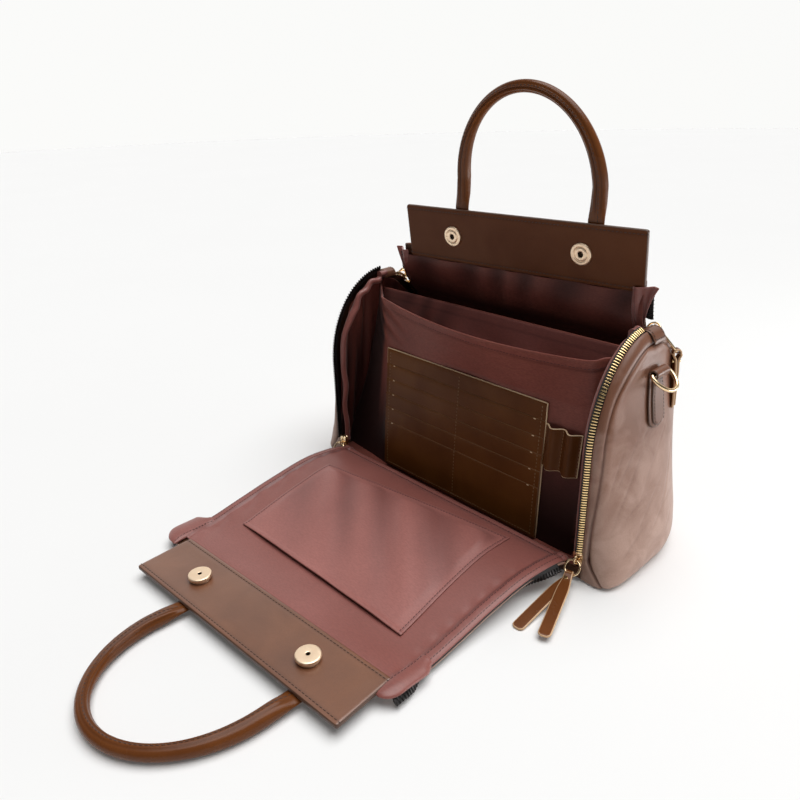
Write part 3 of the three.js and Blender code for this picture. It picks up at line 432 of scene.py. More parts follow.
def make(name, shape, materials, replaces=(), body="bag", mirror=False, sharp=50):
    """Object of a shape, riding on a body, with the frame nodes that it replaces hidden."""
    points = shape.points * (-1 if mirror else 1, 1, 1)
    quads, triangles = shape.quads, shape.triangles
    faces = np.vstack([quads[:, [0, 1, 2]], quads[:, [0, 2, 3]], triangles])
    a, b, c = (points[faces[:, k]] for k in range(3))
    if np.sum(a * np.cross(b, c)) < 0:
        quads, triangles = quads[:, ::-1], triangles[:, ::-1]
    mesh = bpy.data.meshes.new(name)
    mesh.from_pydata((points * MM).tolist(), [], quads.tolist() + triangles.tolist())
    for material in materials:
        mesh.materials.append(material)
    groups = np.minimum(np.concatenate([shape.quad_groups, shape.triangle_groups]), len(materials) - 1)
    mesh.polygons.foreach_set("material_index", groups)
    mesh.attributes.new("shade", "FLOAT", "POINT").data.foreach_set("value", shape.shade)
    mesh.shade_smooth()
    mesh.set_sharp_from_angle(angle=math.radians(sharp))
    made = bpy.data.objects.new(name, mesh)
    bpy.context.collection.objects.link(made)
    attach(made, body)
    if replaces:
        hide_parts(*replaces)
    return made


def pair(name, shape, materials, node):
    """The right side's piece and its mirror image on the left."""
    return [
        make(f"{name}_{side}", shape, materials, [f"{node}_{side}"], mirror=mirror)
        for side, mirror in MIRRORED
    ]


# Materials

class Shader:
    def __init__(self, name):
        self.material = bpy.data.materials.new(name)
        self.material.use_nodes = True
        self.tree = self.material.node_tree
        self.main = self.tree.nodes["Principled BSDF"]
        self.place = self.add("ShaderNodeTexCoord").outputs["Object"]

    def add(self, kind, inputs=(), **settings):
        node = self.tree.nodes.new(kind)
        for key, value in settings.items():
            setattr(node, key, value)
        for key, value in dict(inputs).items():
            self.feed(node.inputs[key], value)
        return node

    def feed(self, socket, value):
        if isinstance(value, bpy.types.NodeSocket):
            self.tree.links.new(value, socket)
        else:
            socket.default_value = (*value, 1) if isinstance(value, tuple) and len(value) == 3 else value

    def set(self, **values):
        for key, value in values.items():
            self.feed(self.main.inputs[key.replace("_", " ")], value)

    def noise(self, scale, detail, stretch=None, distortion=0):
        place = self.place
        if stretch:
            place = self.add("ShaderNodeMapping", {"Vector": place, "Scale": Vector(stretch)}).outputs[0]
        inputs = {"Vector": place, "Scale": scale, "Detail": detail, "Distortion": distortion}
        return self.add("ShaderNodeTexNoise", inputs).outputs[0]

    def cells(self, scale):
        return self.add("ShaderNodeTexVoronoi", {"Vector": self.place, "Scale": scale}).outputs["Distance"]

    def mix(self, factor, a, b):
        node = self.add("ShaderNodeMix", data_type="RGBA")
        for index, value in ((0, factor), (6, a), (7, b)):
            self.feed(node.inputs[index], value)
        return node.outputs[2]

    def remap(self, value, low, high, from_low=0.0, from_high=1.0):
        inputs = {"Value": value, "To Min": low, "To Max": high, "From Min": from_low, "From Max": from_high}
        return self.add("ShaderNodeMapRange", inputs).outputs[0]

    def sum(self, a, b, share):
        return self.add("ShaderNodeMath", {0: b, 1: share, 2: a}, operation="MULTIPLY_ADD").outputs[0]

    def shade(self):
        return self.add("ShaderNodeAttribute", attribute_name="shade").outputs["Fac"]

    def bump(self, height, distance):
        inputs = {"Height": height, "Distance": distance * MM, "Strength": 1.0}
        self.set(Normal=self.add("ShaderNodeBump", inputs).outputs[0])


def leather(name, tones, roughness, specular=0.2, coat=0.0, painted_sheen=None):
    """Smooth leather: cloudy colour, fine pores, painted shade where a piece has shade, painted sheen if
    given.
    """
    dark, light, deep = tones
    shader = Shader(f"leather_{name}")
    clouds = shader.remap(shader.noise(22, 5, distortion=0.4), 0, 1, 0.3, 0.7)
    colour = shader.mix(clouds, dark, light)
    if painted_sheen:
        # Painted sheen: paler towards the bottom and in patches, standing in for reflections of the bright
        # floor
        height = shader.add("ShaderNodeSeparateXYZ", {"Vector": shader.place}).outputs["Z"]
        sheen_mottle = shader.remap(shader.noise(42, 6, distortion=1.0), -0.3, 0.14, 0.35, 0.65)
        colour = shader.mix(shader.sum(shader.remap(height, 1, 0, 0.03, 0.155), sheen_mottle, 1.0), colour, painted_sheen)
    pores = shader.noise(1500, 2)
    colour = shader.mix(shader.remap(pores, 0.16, 0, 0.3, 0.55), colour, deep)
    # Painted shade: the shade attribute darkens towards the deep tone
    colour = shader.mix(shader.shade(), colour, deep)
    shader.set(Base_Color=colour, Roughness=shader.remap(clouds, roughness + 0.05, roughness - 0.05))
    shader.set(Coat_Weight=coat, Coat_Roughness=0.34, Specular_IOR_Level=specular)
    height = shader.sum(shader.noise(260, 4), shader.cells(900), 0.35)
    shader.bump(height, 0.06)
    return shader.material


def satin(name, tones, roughness, sheen=0.35, specular=0.5):
    """Satin lining cloth: fine weave, soft cloudy colour, a cloth sheen and painted shade where a piece has
    shade.
    """
    dark, light, deep = tones
    shader = Shader(f"lining_{name}")
    clouds = shader.remap(shader.noise(16, 4), 0, 1, 0.3, 0.7)
    threads = shader.noise(1400, 2, stretch=(0.25, 1, 1))
    colour = shader.mix(clouds, dark, light)
    colour = shader.mix(shader.remap(threads, 0, 0.22, 0.35, 0.65), colour, deep)
    # Painted shade: the shade attribute darkens towards the deep tone
    colour = shader.mix(shader.shade(), colour, deep)
    shader.set(Base_Color=colour, Roughness=shader.remap(threads, roughness - 0.06, roughness + 0.08))
    shader.set(Sheen_Weight=sheen, Sheen_Roughness=0.45, Sheen_Tint=(0.95, 0.75, 0.72))
    shader.set(Specular_IOR_Level=specular)
    height = shader.sum(shader.noise(1400, 2, stretch=(1, 1, 0.25)), threads, 1.0)
    shader.bump(height, 0.05)
    return shader.material


def metal(name, light, dark, roughness):
    """Polished plated metal with faint clouds of wear, fine scratches and painted shade where a piece has
    shade.
    """
    shader = Shader(name)
    clouds = shader.noise(180, 4)
    scratches = shader.noise(900, 3, stretch=(1, 6, 1))
    # Painted shade: the shade attribute darkens the metal nearly to black
    colour = shader.mix(shader.shade(), shader.mix(clouds, dark, light), (0.02, 0.013, 0.008))
    shader.set(Base_Color=colour, Metallic=1.0)
    shader.set(Roughness=shader.remap(scratches, roughness - 0.05, roughness + 0.1))
    shader.bump(scratches, 0.01)
    return shader.material


def woven(name, dark, light, roughness=0.8):
    """Ribbed zip tape or sewing thread."""
    shader = Shader(name)
    ribs = shader.noise(1800, 2, stretch=(1, 1, 0.4))
    colour = shader.mix(ribs, dark, light)
    shader.set(Base_Color=colour, Roughness=shader.remap(ribs, roughness, roughness - 0.15))
    shader.bump(ribs, 0.08)
    return shader.material


def painted_edge(name, dark, light):
    """Cut leather edge sealed with paint."""
    shader = Shader(name)
    streaks = shader.noise(700, 4)
    shader.set(Base_Color=shader.mix(streaks, dark, light), Roughness=shader.remap(streaks, 0.35, 0.55))
    shader.bump(streaks, 0.06)
    return shader.material


# Dark and light clouds of each leather and cloth, and the deep tone of its pores, weave and painted shade
GUSSET_TONES = (0.17, 0.07, 0.038), (0.225, 0.1, 0.06), (0.07, 0.022, 0.01)
# The strip leather comes twice: a darker copy with painted shade and a lighter copy with painted light
SHADED_STRIP_TONES = (0.1, 0.03, 0.01), (0.13, 0.044, 0.016), (0.04, 0.011, 0.004)
LIT_STRIP_TONES = (0.132, 0.047, 0.019), (0.2, 0.078, 0.036), (0.05, 0.016, 0.006)
HANDLE_TONES = (0.115, 0.034, 0.008), (0.165, 0.054, 0.015), (0.035, 0.01, 0.003)
TAB_TONES = (0.13, 0.05, 0.026), (0.17, 0.07, 0.038), (0.06, 0.02, 0.009)
CARD_TONES = (0.09, 0.026, 0.004), (0.14, 0.047, 0.009), (0.025, 0.006, 0.002)
INSIDE_TONES = (0.06, 0.024, 0.01), (0.08, 0.033, 0.016), (0.03, 0.011, 0.005)
# The lining satin comes three times: as lit, a lighter copy with painted light, a darker copy with painted
# shade
LINING_TONES = (0.228, 0.07, 0.055), (0.27, 0.088, 0.072), (0.08, 0.02, 0.018)
PAINTED_LIGHT_LINING_TONES = (0.3, 0.1, 0.082), (0.35, 0.122, 0.102), (0.07, 0.018, 0.016)
PAINTED_SHADE_LINING_TONES = (0.2, 0.056, 0.042), (0.255, 0.078, 0.058), (0.012, 0.003, 0.003)

# The gusset and back leathers carry a painted sheen, paler towards the bottom; the back's is fainter
GUSSET_LEATHER = leather("gusset", GUSSET_TONES, 0.42, 0.3, 0.1, painted_sheen=(0.45, 0.29, 0.23))
BACK_LEATHER = leather("back", GUSSET_TONES, 0.42, 0.3, 0.1, painted_sheen=(0.3, 0.165, 0.118))
# Shaded and lit copies of the strip leather: painted shade for the back strip, painted light for the front
SHADED_STRIP_LEATHER = leather("strip", SHADED_STRIP_TONES, 0.36, 0.1)
LIT_STRIP_LEATHER = leather("strip_lit", LIT_STRIP_TONES, 0.36, 0.5, 0.7)
HANDLE_LEATHER = leather("handle", HANDLE_TONES, 0.26, 0.2)
TAB_LEATHER = leather("tab", TAB_TONES, 0.36, 0.3, 0.1)
CARD_LEATHER = leather("card", CARD_TONES, 0.4, 0.12)
INNER_LEATHER = leather("inside", INSIDE_TONES, 0.6)
# Lit lining, a lighter copy with painted light for pocket and pouch, a darker copy with painted shade inside
LINING = satin("satin", LINING_TONES, 0.38)
PAINTED_LIGHT_LINING = satin("pocket", PAINTED_LIGHT_LINING_TONES, 0.46)
PAINTED_SHADE_LINING = satin("inside", PAINTED_SHADE_LINING_TONES, 0.45, 0.05, 0.18)
GOLD = metal("gold_plate", (0.92, 0.68, 0.36), (0.8, 0.54, 0.24), 0.2)
RING_GOLD = metal("gold_ring", (0.95, 0.74, 0.48), (0.86, 0.62, 0.36), 0.17)
PALE_GOLD = metal("gold_snap", (0.97, 0.78, 0.58), (0.9, 0.67, 0.46), 0.4)
# Painted shade: a near-black copy of the gold teeth for teeth that lie in shade
SHADED_TEETH = metal("teeth_shadowed", (0.06, 0.055, 0.055), (0.02, 0.018, 0.018), 0.3)
TAPE = woven("zip_tape_black", (0.008, 0.007, 0.007), (0.022, 0.02, 0.02))
BROWN_THREAD = woven("thread_brown", (0.03, 0.012, 0.007), (0.06, 0.026, 0.014), 0.7)
TAN_THREAD = woven("thread_tan", (0.16, 0.08, 0.03), (0.26, 0.14, 0.06), 0.6)
WINE_THREAD = woven("thread_wine", (0.04, 0.012, 0.012), (0.07, 0.02, 0.02), 0.7)
TAN_EDGE = painted_edge("edge_tan", (0.46, 0.27, 0.14), (0.64, 0.42, 0.24))
# Painted light: a lighter copy of the tan edge paint for edges that lie in shade
LIT_TAN_EDGE = painted_edge("edge_tan_lit", (0.62, 0.42, 0.24), (0.82, 0.62, 0.4))
SLOT_EDGE = painted_edge("edge_slot", (0.14, 0.06, 0.018), (0.2, 0.09, 0.03))
DARK_EDGE = painted_edge("edge_brown", (0.06, 0.024, 0.012), (0.1, 0.045, 0.024))

LEATHER_SET = [GUSSET_LEATHER, INNER_LEATHER, GUSSET_LEATHER, BROWN_THREAD]
BACK_SET = [BACK_LEATHER, INNER_LEATHER, BACK_LEATHER, BROWN_THREAD]
# The lining inside the bag takes the darker copy with painted shade
PAINTED_SHADE_LINING_SET = [PAINTED_SHADE_LINING, PAINTED_SHADE_LINING, PAINTED_SHADE_LINING, WINE_THREAD]
POCKET_SET = [PAINTED_LIGHT_LINING, LINING, PAINTED_LIGHT_LINING, WINE_THREAD]
POUCH_SET = [PAINTED_SHADE_LINING, PAINTED_LIGHT_LINING, PAINTED_SHADE_LINING, WINE_THREAD]
LIT_LINING_SET = [LINING, LINING, LINING, WINE_THREAD]


# Gussets, built on the right side

def depth_share(side, z):
    return np.where(np.asarray(side) > 0, 1 - BACK_LEAN * smooth(z, 0, SHOULDER_Z), 1)


def arch_point(side, depth_inset=0, crown_inset=0):
    """y and z of a gusset's outline. side is -1 at the front foot, 0 at the crown and 1 at the back foot."""
    side = np.asarray(side, float)
    far = np.abs(side)
    down = np.clip((far - STRAIGHT_SHARE) / (1 - STRAIGHT_SHARE), 0, 1)
    angle = np.clip(far / STRAIGHT_SHARE, 0, 1) * math.pi / 2
    arch_z = SHOULDER_Z + (RISE - crown_inset) * np.cos(angle)
    z = np.where(far > STRAIGHT_SHARE, lerp(SHOULDER_Z, FOOT_Z, down), arch_z)
    y = np.sign(side) * (HALF_DEPTH - depth_inset) * np.sin(angle) * depth_share(side, z)
    return y, z


def side_at_turn(degrees):
    return STRAIGHT_SHARE * degrees / 90


def side_at_height(z):
    return lerp(1, STRAIGHT_SHARE, (z - FOOT_Z) / (SHOULDER_Z - FOOT_Z))


def zip_line_x(y, z):
    return ZIP_X - ZIP_BACK_LEAN * (y / HALF_DEPTH + 1) / 2 * z / CROWN_Z


def gusset_x(y, z):
    """Inner face of a gusset's leather."""
    share = np.clip((z - SHOULDER_Z) / RISE, 0, 1)
    half_depth = HALF_DEPTH * np.sqrt(1 - share * share) * depth_share(y, z)
    across = np.clip(np.abs(y) / np.maximum(half_depth, 1e-6), 0, 1)
    blunt = 0.1
    across = (np.sqrt(across**2 + blunt**2) - blunt) / (math.sqrt(1 + blunt**2) - blunt)
    square = np.where(y > 0, soft_interp(z, GUSSET_Z, BACK_SQUARE), soft_interp(z, GUSSET_Z, FRONT_SQUARE))
    swell = soft_interp(z, GUSSET_Z, SWELL) * np.clip(1 - across**square, 0, 1) ** (1 / square)
    return zip_line_x(y, z) + swell


def facing_inset(side):
    """Depth that the facing takes from a gusset. It flares into a corner piece below."""
    side = np.asarray(side, float)
    z = np.minimum(arch_point(side)[1], SHOULDER_Z)
    flare = np.clip(1 - z / FACING["corner_z"], 0, 1)
    width = lerp(FACING["low"], FACING["high"], smooth(z, 40, SHOULDER_Z)) + FACING["flare"] * flare**1.3
    depth = np.linspace(0, 1, 80) ** 3 * 9
    y = np.sign(side)[..., None] * (HALF_DEPTH - depth) * depth_share(side, z)[..., None]
    x = gusset_x(y, z[..., None] + 0 * y)
    steps = np.hypot(np.diff(x, axis=-1, prepend=x[..., :1]), np.diff(y, axis=-1, prepend=y[..., :1]))
    runs = np.cumsum(steps, axis=-1).reshape(-1, len(depth))
    found = [np.interp(wide, run, depth) for wide, run in zip(np.ravel(width), runs)]
    return np.reshape(found, side.shape)


def gusset_grid(inset, crown_inset, columns, rows):
    """Points over a gusset, in level rows whose columns are spread over the leather."""
    side = lerp(1, TOP_SIDE, np.linspace(0, 1, rows))[:, None]
    front, z = arch_point(-side, inset(-side), crown_inset)
    back, _ = arch_point(side, inset(side), crown_inset)
    y = lerp(front, back, (1 - np.cos(np.linspace(0, math.pi, 400))) / 2)
    x = gusset_x(y, z + 0 * y)
    steps = np.hypot(np.diff(x, axis=1, prepend=x[:, :1]), np.diff(y, axis=1, prepend=y[:, :1]))
    run = np.cumsum(steps, axis=1)
    u = np.linspace(0, 1, columns)
    share = lerp(u, (1 - np.cos(math.pi * u)) / 2, 0.6)
    y = np.array([np.interp(share * line[-1], line, row) for line, row in zip(run, y)])
    return point_grid(gusset_x(y, z + 0 * y), y, z)


def crease_relief(y, z):
    """Height of the soft creases over a gusset, and how near each point is to a crease line."""
    relief = 0.4 * np.sin(y / 15 + z / 31) * np.sin(z / 26) * smooth(z, 10, 50)
    lines = np.zeros_like(relief)
    steps = np.linspace(0, 1, 30)
    for y0, z0, y1, z1, y2, z2, depth, width in CREASES:
        ends = (1 - steps) ** 2, 2 * steps * (1 - steps), steps**2
        line_y = ends[0] * y0 + ends[1] * y1 + ends[2] * y2
        line_z = ends[0] * z0 + ends[1] * z1 + ends[2] * z2
        gaps = np.hypot(y[..., None] - line_y, z[..., None] - line_z)
        nearest = gaps.argmin(axis=-1)
        gap = gaps.min(axis=-1)
        fade = np.sin(math.pi * np.clip(steps[nearest], 0.02, 0.98)) ** 0.7
        relief += depth * fade * (0.5 * bump(gap - 1.9 * width, width) - bump(gap, width))
        lines = np.maximum(lines, fade * bump(gap, 0.7 * width))
    return relief, lines


def build_gussets():
    """Leather that dips at its seams, rolls up beside them and is creased farther in."""
    roll, gap = GUSSET_ROLL, GUSSET_ROLL["gap"]
    grid = gusset_grid(lambda side: facing_inset(side) + 0.3 * gap, CROWN_INSET + gap, 110, 140)
    left, right, first, last = edge_distances(grid)
    near = np.minimum(np.minimum(left, right), last)
    rolled = np.minimum(near, first + 1.5)
    away = smooth(near, 2, 14)
    relief, lines = crease_relief(grid[..., 1], grid[..., 2])
    bulge = roll["high"] * bump(rolled - roll["at"], roll["wide"])
    high = LEATHER + relief * away + bulge - roll["dip"] * bump(rolled, roll["dip_wide"])
    # Painted shade in the seam dips and along the crease lines
    shade = np.maximum(0.7 * bump(rolled, 1.1), 0.2 * lines * away)
    pair("gusset_skin", wall(grid, 0, high, shade), LEATHER_SET, "gusset")


def build_facings():
    """Band round each arch, rounded across, with a seam over its flared corner pieces."""
    u, v = grid_of(240, 13)
    side = lerp(-1, 1, u[:1])
    inner_y, inner_z = arch_point(side, facing_inset(side), CROWN_INSET)
    outer_y, outer_z = arch_point(side)
    ease = 1 - (1 - v) ** 2
    z = lerp(inner_z, outer_z, v)
    y = lerp(inner_y, outer_y, np.where(z < SHOULDER_Z, ease, v))
    grid = point_grid(gusset_x(y, z), y, z)
    seam = bump(z - FACING["corner_z"], 0.9) * (np.abs(side) > STRAIGHT_SHARE)
    high = LEATHER + FACING["round"] * np.sin(math.pi * v) ** 0.7 - FACING["sink"] - seam
    # Painted shade over the whole band, deeper at its inner edge and on the corner seams
    shade = np.maximum(0.25 + 0.5 * bump(v, 0.1), 0.8 * seam)
    pair("zip_facing_skin", wall(grid, 0, high, shade), LEATHER_SET, "zip_facing")


def lining_folds(y, z):
    """How far a gusset's lining stands off the leather, in wide and narrow folds."""
    wide = 1 - np.cos(TURN * 3 * y / HALF_DEPTH + 0.9 * np.sin(z / 38))
    narrow = 1 - np.cos(TURN * 5.3 * y / HALF_DEPTH + 1.1 + z / 47)
    return 2.4 + 1.5 * wide + 0.7 * narrow


def build_gusset_linings():
    grid = gusset_grid(lambda side: LINING_INSET, CROWN_INSET, 90, 70)
    folds = lining_folds(grid[..., 1], grid[..., 2])
    grid[..., 0] -= folds
    # Painted shade, darker towards the bottom and lighter on the ridges of the folds
    ridge = smooth(folds, folds.min(), folds.max()) ** 2
    shade = (0.78 - 0.4 * ridge) * (1 - smooth(grid[..., 2], 90, 180))
    made = pair("gusset_lining_cloth", wall(grid, -CLOTH, 0, shade), PAINTED_SHADE_LINING_SET, "gusset_lining")


def build_lining_lips():
    """Rolled edges of the lining beside the open front zips, slimmer towards the foot on the left."""
    side = np.linspace(-side_at_height(LIP["foot_z"]), -side_at_turn(1), 180)
    y, z = arch_point(side, LIP["inset"], LIP["inset"])
    tangent = unit(np.gradient(np.stack([0 * y, y, z], axis=1), axis=0))
    inward = np.stack([np.zeros_like(y), -tangent[:, 2], tangent[:, 1]], axis=1)
    inward *= np.sign(np.sum(inward * (0, 1, 0.2), axis=1, keepdims=True) + 1e-9)
    across, deep = circle(1, 20)
    plans = (("right", False, LIP["half"], 0.4), ("left", True, LIP["slim_half"], 0.8))
    for name, mirror, foot_half, wavy in plans:
        half = lerp(foot_half, LIP["half"], smooth(z, 50, 160))
        crinkle = 1.6 * np.sin(y / 2.6) * smooth(z, 140, 175)
        wave = wavy * (np.sin(z / 11) + 0.8 * np.sin(z / 6 + 1) + crinkle)
        spine = np.stack([zip_line_x(y, z) - LIP["off"] - half, y, z], axis=1)
        rings = (
            spine[:, None]
            + np.array([1.0, 0, 0]) * ((half + 0.5 * wave)[:, None] * across)[..., None]
            + inward[:, None] * ((LIP["lift"] + wave)[:, None] + LIP["deep"] * deep)[..., None]
        )
        make(f"lining_lip_front_{name}", loft(rings), [LINING], mirror=mirror)


def build_crown_tabs():
    """Tab over the ends of the zips, sewn round three sides."""
    u, v = grid_of(14, 40)
    x, z = np.moveaxis(curve_points(CROWN_TAB_XZ, CROWN_TAB["reach"] * v), -1, 0)
    grid = point_grid(x, lerp(CROWN_TAB["back"], CROWN_TAB["front"], u), z)
    rim = np.min(edge_distances(grid), axis=0)
    high = CROWN_TAB["half"] + CROWN_TAB["dome"] * smooth(rim, 0, 2)
    near, far, low = 0.1, 0.9, 0.93
    line_u = np.concatenate([np.full(20, near), np.linspace(near, far, 20), np.full(20, far)])
    line_v = np.concatenate([np.linspace(near, low, 20), np.full(20, low), np.linspace(low, near, 20)])
    shape = join(wall(grid, -CROWN_TAB["half"], high), stitch_on(grid, high, line_u, line_v, "crown"))
    materials = [TAB_LEATHER, INNER_LEATHER, DARK_EDGE, BROWN_THREAD]
    pair("crown_tab_skin", shape, materials, "crown_tab")


# Base

def build_base():
    u, v = grid_of(40, 90)
    y, z = np.moveaxis(curve_points(np.stack([BASE_Y, BASE_Z], axis=1), v), -1, 0)
    half = np.interp(v, np.linspace(0, 1, len(BASE_HALF)), BASE_HALF)
    grid = point_grid(lerp(-half, half, u), y, np.maximum(z, LEATHER / 2))
    # Painted shade: the base takes the dark inside leather all over, as its front lies in shadow
    make("base_skin", wall(grid, -LEATHER / 2, LEATHER / 2), [INNER_LEATHER], ["base"])


def build_base_lining():
    u, v = grid_of(80, 40)
    y = lerp(BASE_LINING["front"], BASE_LINING["back"], v)
    half = np.interp(y, BASE_Y[3:11], BASE_HALF[3:11]) - BASE_LINING["inset"]
    x = lerp(-half, half, u)
    ripple = 0.25 * np.sin(x / 11 + y / 17) * np.sin(y / 13)
    grid = point_grid(x, y, LEATHER + GAP + BASE_LINING["lift"] + ripple)
    cloth = make("base_lining_cloth", wall(grid, 0, CLOTH), PAINTED_SHADE_LINING_SET, ["base_lining"])


# Zips

def zip_half(base, way, tangent, width, tooth_at, teeth, pitch=2.6):
    """Tape from a line of base points along a way, and a row of teeth on it."""
    u = np.linspace(0, 1, 5)[None, :, None]
    grid = base[:, None] + way[:, None] * (np.reshape(width, (-1, 1, 1)) * u)
    tape = wall(grid, -TAPE_THICK / 2, TAPE_THICK / 2, groups=(OVER,) * 3)
    everything = even(np.hstack([base, way, tangent]), pitch)
    spot, run, along = everything[:, :3], unit(everything[:, 3:6]), unit(everything[:, 6:])
    length, thick, high = TEETH_SIZES[teeth]
    axes = np.stack([run * length, along * thick, np.cross(run, along) * high], axis=1)
    return join(tape, scatter(TOOTH, spot + run * tooth_at, axes).grouped(TEETH))


def arch_frame(side):
    """Points of a zip line with its tangent and its way out of the arch."""
    y, z = arch_point(side)
    base = np.stack([zip_line_x(y, z) - GAP, y, z], axis=1)
    tangent = unit(np.gradient(base, axis=0))
    out = np.stack([np.zeros_like(y), tangent[:, 2], -tangent[:, 1]], axis=1)
    out *= np.sign(np.sum(out * np.stack([0 * y, y, z - 60], axis=1), axis=1, keepdims=True))
    return base, tangent, unit(out)


def build_arch_zips():
    """Gusset's halves of the open front zips, which lean out on the left, and the closed back zips."""
    front = np.linspace(-side_at_height(FRONT_ZIP["foot_z"]), -side_at_turn(FRONT_ZIP["top_turn"]), 180)
    base, tangent, out = arch_frame(front)
    inward = np.array([-1.0, 0, 0])
    # The left teeth take the near-black copy with painted shade, the right ones gold
    plans = (("right", False, 40, 3.4, 2.15, GOLD), ("left", True, 66, 5.4, 2.6, SHADED_TEETH))
    for side, mirror, lean, tooth_at, pitch, metal_of_teeth in plans:
        turn = math.radians(lean)
        way = inward * math.cos(turn) + out * math.sin(turn)
        shape = zip_half(base, way, tangent, ZIP_HALF, tooth_at, "arch", pitch)
        make(
            f"zip_front_gusset_teeth_{side}", shape, [TAPE, metal_of_teeth],
            [f"zip_front_gusset_{side}"], mirror=mirror,
        )
    back = np.linspace(side_at_height(BACK_ZIP["foot_z"]), side_at_turn(BACK_ZIP["top_turn"]), 160)
    base, tangent, _ = arch_frame(back)
    way = np.broadcast_to(inward, base.shape)
    to_panel = base[:, 0] - BACK_HALF + ZIP_TUCK
    shape = zip_half(base, way, tangent, to_panel, ZIP_HALF, "closed", pitch=1.9)
    pair("zip_back_teeth", shape, [TAPE, GOLD], "zip_back")


# Back panel

def back_rows():
    heights = np.array([8, 40, 75, 108])
    turns = np.array([67, 45, 36])
    low = np.stack(arch_point(side_at_height(heights)), axis=1)
    high = np.stack(arch_point(side_at_turn(turns)), axis=1)
    return np.vstack([low, high, BACK_TOP_YZ])


BACK_ROWS = back_rows()
BACK_HALF = ZIP_X - ZIP_BACK_LEAN - 2 * ZIP_HALF - 2 * GAP


def back_share(z):
    """Place along the back's rows at a height."""
    return np.interp(z, BACK_ROWS[:, 1], np.linspace(0, 1, len(BACK_ROWS)))


def back_skin(share, v, out=0):
    y, z = np.moveaxis(curve_points(BACK_ROWS, v), -1, 0)
    top = smooth(z, BACK_TOP["from_z"], BACK_TOP["to_z"])
    x = share * (BACK_HALF - BACK_TOP["taper"] * top + out)
    return point_grid(x + BACK_TOP["shift"] * top, y + x * math.tan(FLAP_TURN) * top, z)


def build_back_panel():
    u, v = grid_of(60, 100)
    grid = back_skin(lerp(-1, 1, u), v)
    left, right, first, _ = edge_distances(grid)
    near = np.minimum(np.minimum(left, right), first)
    waves = 0.5 * np.sin(grid[..., 0] / 37) * smooth(near, 5, 30)
    swell = 0.8 * bump(near - 6, 4) - 0.9 * bump(near, 1.5) + waves
    # Painted shade along the panel's sides and foot
    shape = wall(grid, -GAP - LEATHER - swell, -GAP, shade=0.6 * bump(near, 1.5), groups=FLIPPED)
    make("back_panel_skin", shape, BACK_SET, ["back_panel"])


def build_back_lining():
    """Cloth that is gathered under the strip, with painted shade in the gathers, and sags farther down."""
    u, v = grid_of(100, 90)
    grid = back_skin(lerp(-1, 1, u), lerp(0.005, back_share(BACK_LINING["top"]), v))
    fall = BACK_LINING["seam"] - grid[..., 2]
    x = grid[..., 0]
    pleats = np.sin(x / 6 + 1.5 * np.sin(x / 23) + fall / 25)
    gathers = 1.5 * (1 + pleats) * bump(fall - 8, 22)
    sags = 1.1 * (1 + np.sin(x / 24 + fall / 16)) * bump(fall - 40, 34)
    high = 1.5 * GAP + CLOTH + gathers + sags
    # Painted shade in the gathers under the strip, deepest in the pleats
    shade = (0.3 + 0.4 * (0.5 - 0.5 * pleats)) * bump(fall - 6, 24)
    shape = wall(grid, high - CLOTH, high, shade)
    cloth = make("back_lining_cloth", shape, PAINTED_SHADE_LINING_SET, ["back_lining"])


def build_free_tapes():
    """Panel's halves of the back zips above the sliders."""
    v = np.linspace(*(back_share(z) for z in BACK_ZIP["free_z"]), 60)
    for side, sign in SIDES:
        edge = back_skin(sign, v, GAP)
        way = unit(back_skin(sign, v, GAP + ZIP_HALF) - edge)
        tangent = unit(np.gradient(edge, axis=0))
        shape = zip_half(edge + (0, GAP + TAPE_THICK, 0), way, tangent, ZIP_HALF, TOOTH_AT, "free")
        # These teeth take the near-black copy with painted shade
        make(f"zip_back_free_teeth_{side}", shape, [TAPE, SHADED_TEETH], [f"zip_back_free_{side}"])


def build_back_ears():
    """Folded ends of the lining beside the back strip."""
    u, v = grid_of(36, 30)
    low, high = (back_share(z) for z in BACK_LINING["ear_z"])
    for side, sign in SIDES:
        edge = back_skin(sign, lerp(low, high, v), -BACK_LINING["ear_inset"])
        out = u * (6 + 12 * v**1.2)
        fold = 3.4 * np.sin(u * TURN * 0.9 + 0.4) * (0.3 + 0.7 * v) + 0.5 * np.sin(u * 17 + v * 5)
        grid = edge + point_grid(sign * out, -3.8 - fold + 2 * u, 3 * u * v - 2 * u)
        # Painted shade, darker towards the ear's lower end
        shade = 0.75 * (1 - smooth(v, 0, 0.7))
        make(f"back_lining_ear_{side}", wall(grid, -0.6, 0.6, shade), LIT_LINING_SET)


# Front panel on the floor

def front_skin(share, v):
    rows = np.stack([FRONT_Y, FRONT_Z], axis=1)
    y, z = np.moveaxis(curve_points(rows, v), -1, 0)
    left = soft_interp(-y, -FRONT_Y, FRONT_LEFT)
    right = soft_interp(-y, -FRONT_Y, FRONT_RIGHT)
    x = lerp(left, right, share)
    return point_grid(x, y + x * math.tan(FLAP_TURN) * smooth(-y, *FRONT_TURN), z)


def front_share(y):
    return np.interp(-y, -FRONT_Y, np.linspace(0, 1, len(FRONT_Y)))


def build_front_panel():
    u, v = grid_of(60, 80)
    shape = wall(front_skin(u, v), GAP / 2, GAP / 2 + LEATHER)
    make("front_panel_skin", shape, LEATHER_SET, ["front_panel"])


